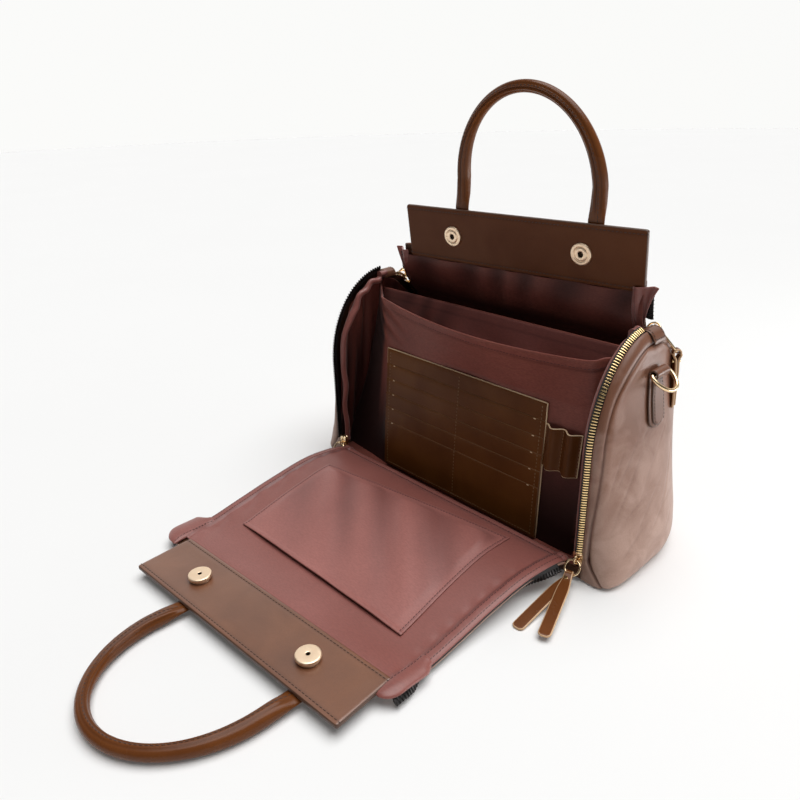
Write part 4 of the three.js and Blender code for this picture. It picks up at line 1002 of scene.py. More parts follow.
def build_front_lining():
    """Lining with bound sides that are sewn twice, puckers beside them and a roll along the hinge."""
    u, v = grid_of(150, 115)
    grid = front_skin(u, v * front_share(FRONT_FLAP["y"] + 4 * GAP))
    x, y = grid[..., 0], grid[..., 1]
    left, right, first, last = edge_distances(grid)
    sides = np.minimum(left, right)
    band = 1.5 * smooth(sides, 0, 2) * (1 - smooth(sides, BINDING - 0.4, BINDING + 0.3))
    pucker = 0.35 * np.sin(y / 2.6 + x / 5) * bump(sides - BINDING - 2, 3.5)
    roll = 1.2 * bump(first - 3, 2.6) - 0.5 * bump(first - 7, 1.4)
    drape = 0.2 * np.sin(x / 21 + y / 40) * smooth(sides, 10, 30) * smooth(last, 0, 20)
    ripples = 0.45 * np.sin((y + 0.8 * x) / 5) * bump(left - 15, 7) * smooth(-y, 95, 150)
    thick = CLOTH + band + pucker + roll + drape + ripples + 0.4
    low = -1.5 * GAP - np.maximum(thick, 0.7)
    # Painted shade in the fold of each binding and behind the hinge roll
    shade = np.maximum(0.9 * bump(sides - BINDING - 0.3, 0.7), 0.4 * bump(first - 7, 1.2))
    body = wall(grid, low, -1.5 * GAP, shade, groups=FLIPPED)
    flipped, upper = grid[:, ::-1], -low[:, ::-1]
    lines = [(edge, inset, 0.02, 0.99) for edge in ("left", "right") for inset in (2.2, BINDING - 1.8)]
    lines.append(("first", 6.2, 0.04, 0.96))
    rows = [stitch_on(flipped, upper, *inset_line(flipped, *line), "lining") for line in lines]
    cloth = make("front_lining_cloth", join(body, *rows), LIT_LINING_SET, ["front_lining"])


def build_front_pocket():
    """Slip pocket that is sewn on three sides, with slanting folds, painted shade on them and a hemmed mouth.
    """
    u, v = grid_of(130, 104)
    share, y = (
        lerp(
            lerp(POCKET_FOOT["left"][k], POCKET_FOOT["right"][k], u),
            lerp(POCKET_MOUTH["left"][k], POCKET_MOUTH["right"][k], u),
            v,
        )
        for k in range(2)
    )
    grid = front_skin(share, front_share(y))
    left, right, first, last = edge_distances(grid)
    sewn = np.minimum(np.minimum(left, right), first)
    lift = lerp(POCKET["seam_lift"], POCKET["clearance"], smooth(sewn, 1, 26))
    puff = POCKET["puff"] * np.sin(math.pi * u) ** 0.6 * v**2
    slanted = grid[..., 0] * FOLD_WAY[0] + grid[..., 1] * FOLD_WAY[1]
    phase = slanted / 6.4 + 0.9 * np.sin(slanted / 19) + 0.6 * v
    fine = np.sin(slanted / 3.3 + 1.7 + v)
    folds = 1.2 * (1 + np.sin(phase)) + 0.35 * (1 + fine)
    grid[..., 2] += lift + puff + folds * smooth(sewn, 1, 12) * (1 - 0.85 * smooth(v, 0.3, 1))
    hem = 0.5 * (1 - smooth(last, 1.5, 4))
    # Painted shade on one slope of each fold, fading towards the mouth, and along the sewn edges
    fold_shade = 0.5 - 0.5 * np.sin(phase + 0.9)
    fold_shade = 0.42 * fold_shade * smooth(sewn, 1, 10) * (1 - 0.8 * smooth(v, 0.3, 1))
    shade = np.maximum(fold_shade, 0.5 * bump(sewn - 1, 0.9))
    shape = wall(grid, -CLOTH * 0.5 - hem, CLOTH * 0.3, shade, groups=FLIPPED)
    flipped, upper = grid[:, ::-1], (CLOTH * 0.5 + hem)[:, ::-1]
    rows = [
        stitch_on(flipped, upper, *inset_line(flipped, edge, 2.4, 0.015, 0.985), "pocket")
        for edge in ("left", "right", "first")
    ]
    cloth = make("front_pocket_cloth", join(shape, *rows), POCKET_SET, ["front_pocket"])


def build_front_tapes():
    """Open zip tapes that hang over the panel's side edges."""
    v = np.linspace(front_share(FRONT_TAPE["from_y"]), 1, 140)
    for (side, sign), edge, fan in zip(SIDES, (0.0, 1.0), (0, FRONT_TAPE["fan_right"])):
        base = front_skin(edge, v) + (sign * FRONT_TAPE["off"], 0, FRONT_TAPE["lift"])
        tangent = unit(np.gradient(base, axis=0))
        y = base[:, 1]
        out = 5.6 * bump(y - FRONT_TAPE["from_y"], 24) + fan * smooth(-y, 215, 246) - 2.6
        way = unit(np.stack([sign * out, 0 * y, np.full(len(y), -3.5)], axis=1))
        shape = zip_half(base, way, tangent, ZIP_HALF, TOOTH_AT, "front")
        name = f"zip_front_panel_{side}"
        # These teeth take the near-black copy with painted shade
        make(f"zip_front_panel_teeth_{side}", shape, [TAPE, SHADED_TEETH], [name])


def build_front_ears():
    """Folded ends of the bindings beside the front strip."""
    u, v = grid_of(30, 50)
    start_y, end_y = -220, FRONT_Y[-1]
    to_end = start_y - end_y
    for (side, sign), edge, length, spread in zip(SIDES, (0.0, 1.0), (40, 44), (10, 4)):
        line = front_skin(edge, front_share(lerp(start_y, end_y, np.minimum(v * length / to_end, 1))))
        line[..., 1] -= np.maximum(v * length - to_end, 0)
        ends = np.sqrt(np.clip(1 - np.clip((v - 0.7) / 0.3, 0, 1) ** 2, 0.01, 1))
        across = -BINDING + u * (BINDING + spread * smooth(v, 0, 0.2)) * (0.3 + 0.7 * ends)
        crown = 2.2 * np.sin(math.pi * u) ** 0.6 * ends
        grid = line + point_grid(sign * across, 0 * u, 1.7 + crown)
        grid = grid[::-1] if sign > 0 else grid
        thread = stitch_on(grid, 0.8, 0.14, np.linspace(0.05, 0.95, 40), "pocket")
        make(f"front_lining_ear_{side}", join(wall(grid, -0.8, 0.8), thread), LIT_LINING_SET)


# Top strips with their snaps and handles, in the frame of a strip

BACK_FRAME = Matrix.Translation((BACK_FLAP["shift"], BACK_FLAP["y"], BACK_FLAP["z"])) @ (
    Matrix.Rotation(FLAP_TURN, 4, "Z") @ Matrix.Rotation(math.pi / 2 + BACK_FLAP["lean"], 4, "X")
)
FRONT_FRAME = Matrix.Translation((FRONT_FLAP["shift"], FRONT_FLAP["y"], FRONT_FLAP["z"])) @ (
    Matrix.Rotation(math.pi + FLAP_TURN, 4, "Z")
)


def strip_shape():
    """Stiff flat strip with cut edges, sewn along its outer side and along its foot."""
    length, height, corner = STRIP["length"], STRIP["height"], STRIP["corner"]
    near = np.linspace(0, corner, 7)
    v = np.concatenate([near, np.linspace(corner, height - corner, 30)[1:-1], height - near[::-1]])
    end = np.clip(np.minimum(v, height - v), 0, corner)
    pull = corner - np.sqrt(corner**2 - (corner - end) ** 2)
    u = np.sin(np.linspace(-0.5, 0.5, 100) * math.pi) / 2
    x = u[None, :] * (length - 2 * pull[:, None])
    y = np.broadcast_to(v[:, None], x.shape)
    rim = np.minimum(np.minimum(y, height - y), length / 2 - np.abs(x))
    half = STRIP["thick"] / 2
    wave = 0.2 * np.sin(x / 23 + y / 19) * smooth(rim, 3, 14)
    lines = {"outer": height - STRIP["stitch"], "foot": STRIP["stitch"]}
    groove = sum(bump(y - line, 0.8) for line in lines.values())
    high = half + wave - 0.16 * groove - 0.2 * bump(rim, 0.7)
    grid = point_grid(x, y, 0.0)
    # Painted shade in the stitch grooves
    body = wall(grid, -half, high, 0.35 * groove, rim_steps=5, rim_reach=0.4)
    shares = [np.interp(line, v, np.linspace(0, 1, len(v))) for line in lines.values()]
    u_line = np.linspace(0.012, 0.988, 260)
    rows = [stitch_on(grid, high, u_line, share, "strip") for share in shares]
    return join(body, *rows)


def snap_shapes():
    """Socket and stud of a magnetic snap, each turned round its axis."""
    r = SNAP["radius"]
    # Painted shade darkens the inside of each snap's hole
    socket = lathe([
        (r, 0), (r, 0.9), (r - 0.15, 1.3), (r - 0.5, 1.55), (r - 1.1, 1.65), (6.6, 1.65),
        (6.3, 1.35), (5.8, 1.3), (5.4, 1.65), (5.0, 1.95), (4.4, 2.05), (3.0, 2.05), (2.5, 1.9),
        (2.1, 1.5), (2.0, 0.9),
    ], 64, hole=2.2)
    stud = lathe([
        (r - 1.2, 0), (r - 1.0, 0.7), (r - 1.0, 1.5), (r - 0.3, 1.8), (r, 2.2), (r, 3.9),
        (r - 0.2, 4.3), (r - 0.6, 4.55), (r - 1.2, 4.6), (2.2, 4.7), (1.8, 4.65), (1.4, 4.4),
        (1.3, 3.6),
    ], 64, hole=1.5)
    return socket, stud


def build_strips():
    socket, stud = snap_shapes()
    # The back strip takes the shaded copy of its leather and the front strip the lit copy
    plans = (
        ("back", BACK_FRAME, socket, 1, SHADED_STRIP_LEATHER),
        ("front", FRONT_FRAME, stud, -1, LIT_STRIP_LEATHER),
    )
    for name, place, snap, right, skin in plans:
        materials = [skin, INNER_LEATHER, DARK_EDGE, BROWN_THREAD]
        shape = strip_shape().moved(place)
        make(f"top_strip_{name}_skin", shape, materials, [f"top_strip_{name}"])
        for side, sign in (("left", -right), ("right", right)):
            seat = (sign * SNAP["spread"], STRIP["height"] / 2, STRIP["thick"] / 2 - 0.1)
            shape = snap.moved(place @ Matrix.Translation(seat))
            make(f"snap_{name}_{side}_metal", shape, [PALE_GOLD], [f"snap_{name}_{side}"], sharp=40)


def handle_shape(shift, stand_off, sway, seam_turn):
    """Rolled handle with flat ends. seam_turn is where its sewn ridge runs round the section, in degrees."""
    spread, leg, rise = HANDLE["spread"], HANDLE["leg"], HANDLE["rise"]
    low = np.linspace(HANDLE_UP[0], leg, 34)
    turn = np.linspace(0, math.pi / 2, 60)[1:]
    x = np.concatenate([np.full(len(low), spread), spread * np.cos(turn)])
    up = np.concatenate([low, leg + (rise - leg) * np.sin(turn)])
    near_end = np.minimum(up, HANDLE_UP[-1])
    columns = HANDLE_WIDE, HANDLE_THICK, HANDLE_AWAY
    wide, thick, away = (soft_interp(near_end, HANDLE_UP, column) for column in columns)
    slim = lerp(1, HANDLE["slim"], smooth(up, leg, rise))
    x = np.concatenate([x, -x[-2::-1]])
    halves = up, wide * slim, thick * slim, away
    up, wide, thick, away = (np.concatenate([half, half[-2::-1]]) for half in halves)
    spine = np.stack([x + shift + sway * np.maximum(up, 0) / rise, STRIP["height"] + up], axis=1)
    tangent = unit(np.gradient(spine, axis=0))
    outward = np.stack([tangent[:, 1], -tangent[:, 0]], axis=1)
    outward *= np.sign(outward[len(x) // 2, 1])

    sides = 40
    angle = np.linspace(0, TURN, sides, endpoint=False)
    seam, ridge, groove = math.radians(seam_turn), HANDLE["ridge"], HANDLE["groove"]
    gap = np.abs((angle - seam + math.pi) % TURN - math.pi)
    roundness = smooth(thick, 2, 5.5)[:, None]
    relief = 0.45 * bump(gap - ridge, 0.18) - 0.55 * bump(gap, 0.12) - 0.4 * bump(gap - groove, 0.12)
    across = np.cos(angle) * (wide[:, None] + roundness * relief)
    depth = np.sin(angle) * (thick[:, None] + roundness * relief)
    rings = np.empty((len(x), sides, 3))
    rings[..., :2] = spine[:, None] + across[..., None] * outward[:, None]
    rings[..., 2] = -HANDLE["seat"] - stand_off * away[:, None] + depth
    # Painted shade along the sewn ridge and in the groove beside it
    body = loft(rings, shade=roundness * np.maximum(0.8 * bump(gap, 0.1), 0.5 * bump(gap - groove, 0.1)))
    column = int(np.argmin(np.abs(angle - (seam - ridge))))
    rolled = slice(16, len(x) - 16)
    line = rings[rolled, column]
    return join(body, stitches(line, unit(line - rings.mean(axis=1)[rolled]), "strip"))


def build_handles():
    materials = [HANDLE_LEATHER, HANDLE_LEATHER, HANDLE_LEATHER, BROWN_THREAD]
    back = handle_shape(shift=8, stand_off=7.5, sway=-2, seam_turn=92).moved(BACK_FRAME)
    make("handle_back_skin", back, materials, ["handle_back"])
    flip = Matrix.Diagonal((-1, 1, 1, 1))
    front = handle_shape(shift=12, stand_off=0, sway=-8, seam_turn=112).moved(FRONT_FRAME @ flip)
    make("handle_front_skin", front, materials, ["handle_front"])


# Divider pocket with its card panel and pen loops

def pouch_outlines(heights):
    """The pocket's outline at each height: its left fold, the front, the right side and the back."""
    lines = []
    for z in heights:
        columns = POUCH_FRONT, POUCH_BACK, POUCH_LEFT, POUCH_BOW
        front, back, left, bow = (np.interp(z, POUCH_Z, column) for column in columns)
        end = float(gusset_x(np.array(0.0), np.array(z))) - POUCH["side_gap"]
        share = np.linspace(0, 1, 60)
        bowed = front - bow * np.sin(math.pi * share)
        front_line = np.stack([lerp(left, POUCH["right"], share), bowed], axis=1)
        corners = [(end, lerp(front, back, POUCH["side_share"])), (end, back), (-end, back)]
        lines.append(even(np.vstack([(-end, back - POUCH["left_fold"]), front_line, corners]), 2.5))
    count = min(len(line) for line in lines)
    flat = np.array([even(line, count=count) for line in lines])
    for _ in range(3):
        flat[:, 1:-1] = (flat[:, :-2] + 2 * flat[:, 1:-1] + flat[:, 2:]) / 4
    return flat


def pouch_floor():
    u, v = grid_of(40, 10)
    y = lerp(POUCH_FRONT[0] + 0.5, POUCH_BACK[0] - 0.5, v)
    half = POUCH["wall"] / 2
    return wall(point_grid(lerp(-100, 150, u), y, POUCH_Z[0] + 0.8), -half, half)


def build_pouch():
    """Cloth pocket with a hemmed and sagging mouth, gathers at its left end and painted shade in its depths.
    """
    heights = np.linspace(POUCH_Z[0], POUCH_Z[-1], 80)
    flat = pouch_outlines(heights)
    x, y = flat[..., 0], flat[..., 1]
    z = np.broadcast_to(heights[:, None], x.shape).copy()
    left_end, hem_line = POUCH_LEFT[-1], POUCH["hem"]
    across = np.clip((x - left_end) / (POUCH["right"] - left_end), 0, 1)
    run = np.cumsum(np.insert(np.linalg.norm(np.diff(flat, axis=1), axis=2), 0, 0, axis=1), axis=1)
    front_end = run[np.arange(len(run)), np.abs(x - POUCH["right"]).argmin(axis=1)][:, None]
    is_back = smooth(run, front_end, front_end + 8)
    is_front = 1 - is_back
    sag = POUCH_EDGE["sag"] * np.sin(math.pi * across) ** 0.7
    slope = lerp(POUCH_EDGE["left_rise"], -POUCH_EDGE["right_fall"], across)
    z += (slope - sag) * is_front * smooth(z, 120, POUCH_Z[-1])
    grid = point_grid(x, y, z)

    top = edge_distances(grid)[3]
    hang = smooth(top, 6, 40)
    corner = bump(np.hypot(x - left_end, top - 22), 24)
    pinch = np.sin((x + 1.4 * z) / 4.2)
    gathered = is_back * bump(x + 80, 50)
    gather = np.sin(x / 5 - z / 7 + np.sin(x / 13))
    before = (0.6 * np.sin(x / 15 + z / 27) * hang + 0.7 * corner * pinch) * is_front
    behind = 1.2 * (np.sin(x / 12 + z / 19) * is_back + gathered * gather) * hang
    relief = before + behind
    # Painted shade: lower on the front and back, on the left end, in the crumples and at the hem's seam
    deep = 0.95 * (1 - smooth(z, 30, 135)) * is_front + 0.2 * is_back * (1 - smooth(z, 110, 172))
    beside = 0.95 * smooth(left_end - x, 0, 12) * (y < -4) * (1 - 0.5 * smooth(z, 140, 170))
    hollows = 0.25 * corner * (1 - pinch) * is_front + 0.3 * gathered * (1 - gather)
    seam = 0.5 * bump(top - hem_line, 0.7)
    shade = np.clip(np.maximum(np.maximum(seam, deep), beside) + hollows, 0, 1)

    half = POUCH["wall"] / 2
    high = half + 0.4 * (1 - smooth(top, hem_line - 0.5, hem_line + 0.3)) + relief
    thread = stitch_on(grid, high, *inset_line(grid, "last", 6.4, 0.03, 0.97), "pocket")
    shape = join(wall(grid, relief - half, high, shade), thread, pouch_floor())
    cloth = make("inner_pouch_cloth", shape, POUCH_SET, POUCH_PANELS)


WALL_LEAN = math.atan2(POUCH_FRONT[3] - POUCH_FRONT[0], POUCH_Z[3] - POUCH_Z[0])
CARD_FRAME = Matrix.Translation(
    (CARD_PLACE["shift"], POUCH_FRONT[0] - 2 * GAP, POUCH_Z[0] + CARD_PLACE["rise"])
) @ (
    Matrix.Rotation(-WALL_LEAN, 4, "X") @ Matrix.Rotation(CARD_PLACE["tilt"], 4, "Y")
    @ Matrix(((1, 0, 0, 0), (0, 1, 0, 0), (-CARD_PLACE["slope"], 0, 1, 0), (0, 0, 0, 1)))
)


def card_layer(bottom, top, back, thick, gape):
    """One leather layer of the card panel, whose upper edge gapes a little in each column."""
    u, v = grid_of(60, 24)
    x = lerp(CARD["left"], CARD["right"], u)
    z = lerp(bottom, top, v)
    open_edge = gape * np.abs(np.sin(TURN * u)) ** 0.8 * smooth(v, 0.7, 1) ** 2
    grid = point_grid(x, -back - open_edge, z)
    return wall(grid, 0, thick)


def build_card_panel():
    """Backing with a layer for each row of slots, sewn into two columns, with rivets at the slots' ends."""
    thin, step = CARD["thin"], CARD_PLACE["step"]
    left, right, inset = CARD["left"], CARD["right"], CARD_INSET["stitch"]
    tops = CARD["height"] - CARD["first"] - np.arange(CARD["slots"]) * CARD["pitch"]
    backing = card_layer(0, CARD["height"], 0, thin, 0)
    backing.quad_groups[backing.quad_groups == RIM] = TRIM
    layers = [card_layer(0.4, top, thin + i * step - 0.1, step + 0.1, 0.15) for i, top in enumerate(tops)]

    front = np.array([0.0, -1, 0])
    z = np.linspace(CARD_INSET["foot"], CARD["height"] - inset, 200)
    y = -(thin + np.sum(z[:, None] < tops, axis=1) * step)
    columns = left + inset, (left + right) / 2, right - inset
    rows = [stitches(point_grid(x, y, z), front, "card") for x in columns]
    across = np.linspace(left + inset, right - inset, 100)
    foot = point_grid(across, -(thin + CARD["slots"] * step), CARD_INSET["foot"])
    rows.append(stitches(foot, front, "loop"))
    ends = left + CARD_INSET["rivet"], right - CARD_INSET["rivet"]
    spots = [(x, -(thin + (i + 1) * step) - 0.1, top - 0.6) for i, top in enumerate(tops) for x in ends]
    axes = np.tile(np.diag([2.2, 0.7, 0.9]), (len(spots), 1, 1))
    rivets = scatter(STITCH, np.array(spots), axes).grouped(TRIM)

    shape = join(backing, *layers, *rows, rivets).moved(CARD_FRAME)
    # The card's trim takes the lighter edge copy with painted light
    materials = [CARD_LEATHER, INNER_LEATHER, SLOT_EDGE, TAN_THREAD, LIT_TAN_EDGE]
    make("card_panel_skin", shape, materials, ["card_panel"])


def build_pen_loops():
    """Leather strip in waves, sewn down beside and between its loops."""
    u, v = grid_of(110, 30)
    z = lerp(PEN_LOOPS["bottom"], PEN_LOOPS["top"], v)
    x = lerp(PEN_LOOPS["left"], PEN_LOOPS["right"], u)
    half = PEN_LOOPS["thick"] / 2
    stand = half + 3 * GAP + PEN_LOOPS["depth"] * (1 - np.cos(TURN * PEN_LOOPS["loops"] * u)) / 2
    grid = point_grid(x, np.interp(z, POUCH_Z, POUCH_FRONT) - stand, z)
    along = np.linspace(0.05, 0.95, 30)
    rows = [stitch_on(grid, half, at, along, "loop") for at in (0.02, 0.5, 0.98)]
    # The loops' edges take the lighter edge copy with painted light
    materials = [CARD_LEATHER, CARD_LEATHER, LIT_TAN_EDGE, TAN_THREAD]
    make("pen_loops_skin", join(wall(grid, -half, half), *rows), materials, ["pen_loops"])


# Sliders, rings and pulls

def frame_to(first, second, place):
    """Matrix at a place that takes X to the first way and Y towards the second."""
    x = Vector(first).normalized()
    z = x.cross(Vector(second)).normalized()
    y = z.cross(x)
    turn = Matrix((x, y, z)).transposed().to_4x4()
    return Matrix.Translation(place) @ turn


def ring_shape(radius, wire, stretch=1.0):
    """Ring round Z, longer along X by a stretch."""
    angle = np.linspace(0, TURN, 64, endpoint=False)
    long = np.sign(np.cos(angle)) * np.abs(np.cos(angle)) ** 0.9 * radius * stretch
    path = np.stack([long, radius * np.sin(angle), 0 * angle], axis=1)
    return tube(even(np.vstack([path, path[:1]]), 0.6)[:-1], wire, 14)


def slider_shape(bail_radius, bail_turn):
    """Slider with two domed plates, a bridge between them and a bail on top that stands up round an axis."""
    length, thick, slit = SLIDER["length"], SLIDER["thick"], SLIDER["slit"]
    u, v = grid_of(13, 17)
    half = np.interp(v, [0, 0.12, 0.75, 0.92, 1], [2.2, 3, 3.8, 3.5, 1.9])
    grid = point_grid(lerp(-half, half, u), lerp(-length / 2, length / 2, v), 0.0)
    dome = 0.55 * (1 - smooth(np.min(edge_distances(grid), axis=0), 0, 1.8))
    lower = wall(grid, dome - thick / 2, -slit, groups=(OVER,) * 3)
    upper = wall(grid, slit, thick / 2 - dome, groups=(OVER,) * 3)
    bridge = capsule((-2.7, -2.4, 2.4, 2.7), (0.8, 1, 1, 0.8), SQUARE * (3, 5))
    upright = Matrix.Translation((0, SLIDER["bridge_at"], 0)) @ Matrix.Rotation(math.pi / 2, 4, "Y")
    on_top = Matrix.Translation((0, 0, thick / 2)) @ Matrix.Rotation(math.pi / 2, 4, bail_turn)
    bail = ring_shape(bail_radius, SLIDER["bail_wire"])
    return join(lower, upper, bridge.moved(upright), bail.moved(on_top))


def pull_shape(length, spread, curl):
    """Strap folded through the ring: an eye round X and two ends along -Y that spread and curl apart."""
    half = PULL["thick"] / 2
    painted = (OVER, OVER, TRIM)
    u, v = grid_of(9, 44)
    taper = lerp(0.62, 1, smooth(v, 0, 0.3)) * (1 - 0.5 * np.clip((v - 0.965) / 0.035, 0, 1) ** 2)
    line = np.linspace(0.08, 0.97, 60)
    shapes = []
    for sign in (-1, 1):
        bow = sign * (0.25 + curl * v**2) + 1.9 * sign * bump(v, 0.06)
        grid = point_grid((u - 0.5) * PULL["width"] * taper, -length * v - 1.2, bow + sign * half)
        rows = [stitch_on(grid, half, at, line, "pull") for at in (0.16, 0.84)]
        splay = Matrix.Rotation(sign * math.radians(spread), 4, "Z")
        shapes.append(join(wall(grid, -half, half, groups=painted), *rows).moved(splay))
    angle = np.linspace(-0.62 * math.pi, 0.62 * math.pi, 24)[:, None]
    radius = (PULL["eye"] + PULL["hole"]) / 2
    across = np.linspace(-0.5, 0.5, 7) * PULL["eye_width"]
    eye = wall(point_grid(across, radius * np.cos(angle), radius * np.sin(angle)), -0.7, 0.7, groups=painted)
    rivet = lathe([(1.5, -3.1), (1.7, -2.8), (1.7, 2.8), (1.5, 3.1)], 20)
    return join(*shapes, eye, rivet.moved(Matrix.Translation((0, -PULL["rivet_at"], 0))).grouped(METAL))


def add_pull(name, slider, plan, ring_at, ring_ways, pull_ways):
    """Slider with ring and pull. The ways are along and across the ring, and across and along the pull."""
    make(f"slider_{name}_metal", slider, [RING_GOLD], [f"slider_{name}"], sharp=40)
    reach = Vector(ring_ways[0]).normalized() * plan["ring"] * plan["stretch"]
    ring = ring_shape(plan["ring"], RING_WIRE, plan["stretch"])
    ring = ring.moved(frame_to(*ring_ways, Vector(ring_at) + reach))
    make(f"pull_ring_{name}_metal", ring, [RING_GOLD], [f"pull_ring_{name}"])
    across, down = pull_ways
    pull = pull_shape(**plan["sizes"]).moved(frame_to(across, -Vector(down), Vector(ring_at) + 2 * reach))
    materials = [HANDLE_LEATHER, HANDLE_LEATHER, TAN_EDGE, BROWN_THREAD, TAN_EDGE, GOLD]
    make(f"pull_{name}_skin", pull, materials, [f"pull_{name}"])


def add_front_pull(side, sign, turn):
    """Pull that lies forward over the floor, turned a little sideways."""
    x, y, z = sign * FRONT_SLIDER["x"], FRONT_SLIDER["y"], FRONT_SLIDER["z"]
    place = Matrix.Translation((x, y, z)) @ Matrix.Rotation(math.pi / 2, 4, "X")
    slider = slider_shape(FRONT_SLIDER["bail"], "Y").moved(place)
    ring_at = (x, y - FRONT_SLIDER["reach"], z)
    across = (math.cos(turn), math.sin(turn), 0)
    down = (math.sin(turn), -math.cos(turn), -math.tan(FRONT_SLIDER["slope"]))
    add_pull(f"front_{side}", slider, FRONT_PULL, ring_at, ((0, -0.64, -0.77), (1, 0, 0)), (across, down))


def add_back_pull(side, sign):
    """Pull that hangs over the gusset from a slider near the crown."""
    y, z = (float(a) for a in arch_point(side_at_turn(BACK_SLIDER["turn"])))
    x = sign * (zip_line_x(y, z) - GAP - ZIP_HALF)
    slant = BACK_SLIDER["slant"]
    place = Matrix.Translation((x, y, z)) @ Matrix.Rotation(-slant, 4, "X")
    slider = slider_shape(BACK_SLIDER["bail"], "X").moved(place)
    lift = SLIDER["thick"] / 2 + BACK_SLIDER["reach"]
    ring_at = (x, y + lift * math.sin(slant), z + lift * math.cos(slant))
    ring_ways = (sign * 0.7, 0.12, -0.7), (sign * 0.5, -0.8, 0.4)
    pull_ways = (sign * 0.72, -0.69, 0), (sign * BACK_SLIDER["tilt"], 0, -1)
    add_pull(f"back_{side}", slider, BACK_PULL, ring_at, ring_ways, pull_ways)


def build_pulls():
    for side, sign, turn in (("right", 1, 10), ("left", -1, 16)):
        add_front_pull(side, sign, math.radians(turn))
        add_back_pull(side, sign)


# Strap rings with their tabs

def d_tab_shape():
    """Two layers that end round, the upper one sewn on, and the band that holds the ring's bar."""
    half, length = D_TAB["half_width"], D_TAB["length"]
    u, v = grid_of(21, 46)
    layers = []
    for base, thick, inset in ((0.2, 1.5, 0), (1.5, 1.9, 2.4)):
        down = v * (length - inset)
        end = np.clip((down - (length - half)) / (half - inset), 0, 1)
        flare = 1 + 0.3 * smooth(v, 0, 0.6)
        width = (half - inset) * flare * np.sqrt(np.clip(1 - end**2, 0.001, 1))
        upper = point_grid(base, lerp(width, -width, u), -down)
        rim = np.min(edge_distances(upper), axis=0)
        high = thick + 0.5 * smooth(rim, 0, 2.5) - 0.5
        # Painted shade along each layer's rim
        layers.append(wall(upper, 0, high, shade=0.5 * bump(rim, 0.6)))
    lines = [inset_line(upper, edge, 1.3, 0.0, 0.93) for edge in ("left", "right")]
    rows = [stitch_on(upper, high, *line, "tab") for line in lines]
    angle = np.linspace(-0.75, 0.75, 30)[:, None] * math.pi
    x = D_TAB["eye"] - D_BAND["radius"] * np.sin(angle)
    band = point_grid(x, np.linspace(-1, 1, 13) * half, D_BAND["radius"] * np.cos(angle))
    return join(*layers, *rows, wall(band, -D_BAND["half"], D_BAND["half"]))


def d_ring_path():
    """Half of a straight bar with its rounded corner, the bow, and the other half."""
    wide, bar = D_RING["half_width"], D_RING["bar_half"]
    share = np.linspace(0, 1, 8)[:, None]
    corner = (1 - share) ** 2 * (0, bar) + 2 * share * (1 - share) * (0.3, wide) + share**2 * (2.5, wide)
    straight = np.stack([np.zeros(12), np.linspace(0, bar, 12)], axis=1)
    upper = np.vstack([straight[:-1], corner])
    angle = np.linspace(math.pi / 2, -math.pi / 2, 40)
    bow = np.stack([D_RING["side"] + wide * np.cos(angle), wide * np.sin(angle)], axis=1)
    outline = np.vstack([upper, bow, (upper * (1, -1))[:0:-1]])
    path = even(np.vstack([outline, outline[:1]]), 1.1)[:-1]
    return np.hstack([path, np.zeros((len(path), 1))])


def build_strap_rings():
    y, bar_z, length = (float(D_TAB[key]) for key in ("y", "bar_z", "length"))
    head, foot = (float(gusset_x(np.array(y), np.array(z))) for z in (bar_z, bar_z - length))
    lean = math.atan2(foot - head, length)
    place = Matrix.Translation((head + LEATHER + GAP, y, bar_z)) @ Matrix.Rotation(-lean, 4, "Y")
    materials = [TAB_LEATHER, INNER_LEATHER, DARK_EDGE, BROWN_THREAD]
    pair("d_ring_tab_skin", d_tab_shape().moved(place), materials, "d_ring_tab")

    droop = Matrix.Rotation(lean + D_RING["droop"], 4, "Y")
    seat = place @ Matrix.Translation((D_TAB["eye"], 0, 0)) @ droop
    ring = tube(d_ring_path(), D_RING["wire"], 16).moved(seat)
    for name, mirror in MIRRORED:
        body = f"strap_ring_{name}"
        make(f"d_ring_{name}_metal", ring, [RING_GOLD], [f"d_ring_{name}"], body, mirror)


# Camera, floor and light

def build_camera():
    azimuth, elevation, roll = (math.radians(CAMERA[key]) for key in ("azimuth", "elevation", "roll"))
    back = Vector((
        math.cos(elevation) * math.sin(azimuth),
        -math.cos(elevation) * math.cos(azimuth),
        math.sin(elevation),
    ))
    level = Vector((math.cos(azimuth), math.sin(azimuth), 0))
    right = level * math.cos(roll) + back.cross(level) * math.sin(roll)
    data = bpy.data.cameras.new("camera")
    data.lens, data.sensor_width = LENS["focal"], LENS["sensor"]
    data.clip_start = 0.01
    camera = bpy.data.objects.new("camera", data)
    turn = Matrix((right, back.cross(right), back)).transposed().to_4x4()
    camera.matrix_world = Matrix.Translation(Vector(CAMERA["place"]) * MM) @ turn
    bpy.context.collection.objects.link(camera)
    bpy.context.scene.camera = camera


def stage_piece(name, rings, material, lights_others=False, reflected=True):
    """Open surface over rows of points, which belongs to the stage and not to the bag."""
    _, quads = grid_cells(*rings.shape[:2])
    mesh = bpy.data.meshes.new(name)
    mesh.from_pydata((rings.reshape(-1, 3) * MM).tolist(), [], quads.tolist())
    mesh.shade_smooth()
    mesh.materials.append(material)
    piece = bpy.data.objects.new(name, mesh)
    piece.visible_shadow = False
    piece.visible_diffuse = lights_others
    piece.visible_glossy = reflected
    bpy.context.collection.objects.link(piece)


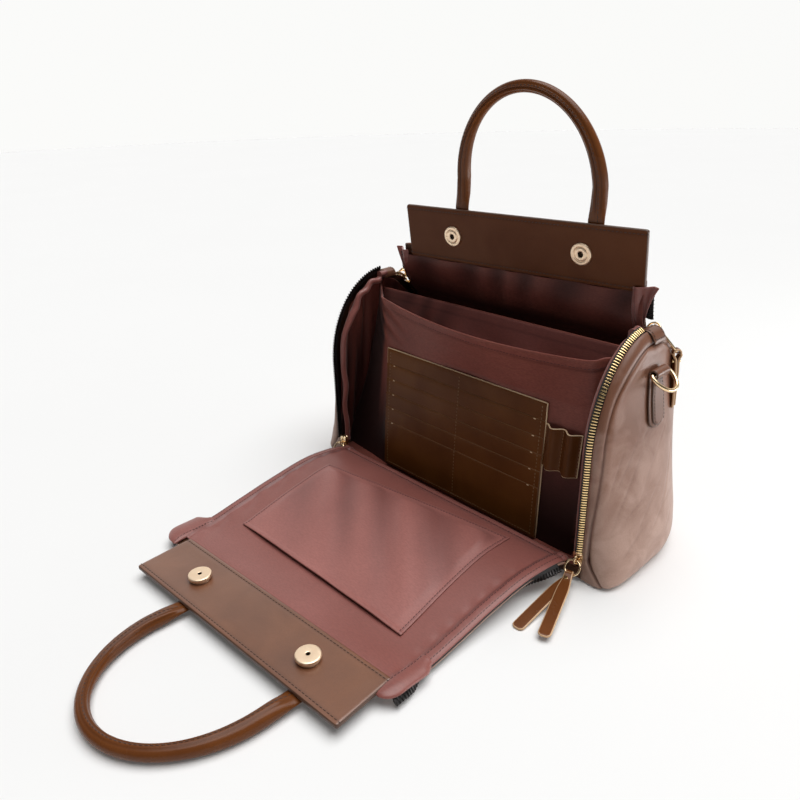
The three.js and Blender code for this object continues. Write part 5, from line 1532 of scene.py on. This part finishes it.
def build_stage():
    """Pale paper floor, and a lit backdrop far behind the bag. The rest of the round is not reflected."""
    paper = Shader("stage_paper")
    tone = paper.mix(paper.noise(3, 2), (0.775, 0.775, 0.77), (0.79, 0.79, 0.785))
    paper.set(Base_Color=tone, Roughness=0.8, Specular_IOR_Level=0.0)
    paper.set(Emission_Color=(1.0, 1.0, 0.99), Emission_Strength=STAGE["paper_glow"])
    angle = np.linspace(0, TURN, 97)
    radius = np.array([1, 300, 900, 2500, STAGE["flat"]])[:, None]
    rings = point_grid(radius * np.cos(angle), radius * np.sin(angle), 0.0)
    stage_piece("floor", rings, paper.material, lights_others=True)

    glow = Shader("stage_backdrop")
    tone = glow.mix(glow.noise(3, 2), (0.02, 0.02, 0.02), (0.022, 0.022, 0.022))
    glow.set(Base_Color=tone, Roughness=0.9, Specular_IOR_Level=0.0)
    glow.set(Emission_Color=(1.0, 1.0, 0.985), Emission_Strength=STAGE["glow"])
    middle, half = math.radians(90 + CAMERA["azimuth"]), math.radians(STAGE["half_angle"])
    height = np.array([0, STAGE["top"]])[:, None]
    for name, start, end in (("behind", -half, half), ("before", half, TURN - half)):
        angle = middle + np.linspace(start, end, 60)
        rings = point_grid(STAGE["flat"] * np.cos(angle), STAGE["flat"] * np.sin(angle), height)
        stage_piece(f"backdrop_{name}", rings, glow.material, reflected=name == "behind")


def add_sun():
    """Far soft light from above."""
    data = bpy.data.lights.new("overhead", "SUN")
    data.angle, data.energy = SUN["softness"], SUN["strength"]
    light = bpy.data.objects.new("overhead", data)
    light.matrix_world = Vector(SUN["from"]).to_track_quat("Z", "Y").to_matrix().to_4x4()
    bpy.context.collection.objects.link(light)


def add_softbox():
    """Low wide light that reaches under the right side."""
    data = bpy.data.lights.new("right_floor", "AREA")
    data.shape, data.energy = "RECTANGLE", SOFTBOX["watts"]
    data.size, data.size_y = SOFTBOX["size"]
    light = bpy.data.objects.new("right_floor", data)
    turn = (Vector(SOFTBOX["target"]) - Vector(SOFTBOX["place"])).to_track_quat("-Z", "Y")
    light.matrix_world = Matrix.Translation(SOFTBOX["place"]) @ turn.to_matrix().to_4x4()
    bpy.context.collection.objects.link(light)


def build_light():
    add_sun()
    add_softbox()
    world = bpy.data.worlds.new("studio")
    world.use_nodes = True
    background = world.node_tree.nodes["Background"]
    background.inputs["Color"].default_value = SURROUND["colour"]
    background.inputs["Strength"].default_value = SURROUND["strength"]
    bpy.context.scene.world = world
    bpy.context.scene.view_settings.view_transform = "Standard"


build_camera()
build_gussets()
build_facings()
build_gusset_linings()
build_lining_lips()
build_crown_tabs()
build_base()
build_base_lining()
build_arch_zips()
build_back_panel()
build_back_lining()
build_free_tapes()
build_back_ears()
build_front_panel()
build_front_lining()
build_front_pocket()
build_front_tapes()
build_front_ears()
build_strips()
build_handles()
build_pouch()
build_card_panel()
build_pen_loops()
build_pulls()
build_strap_rings()
build_stage()
build_light()
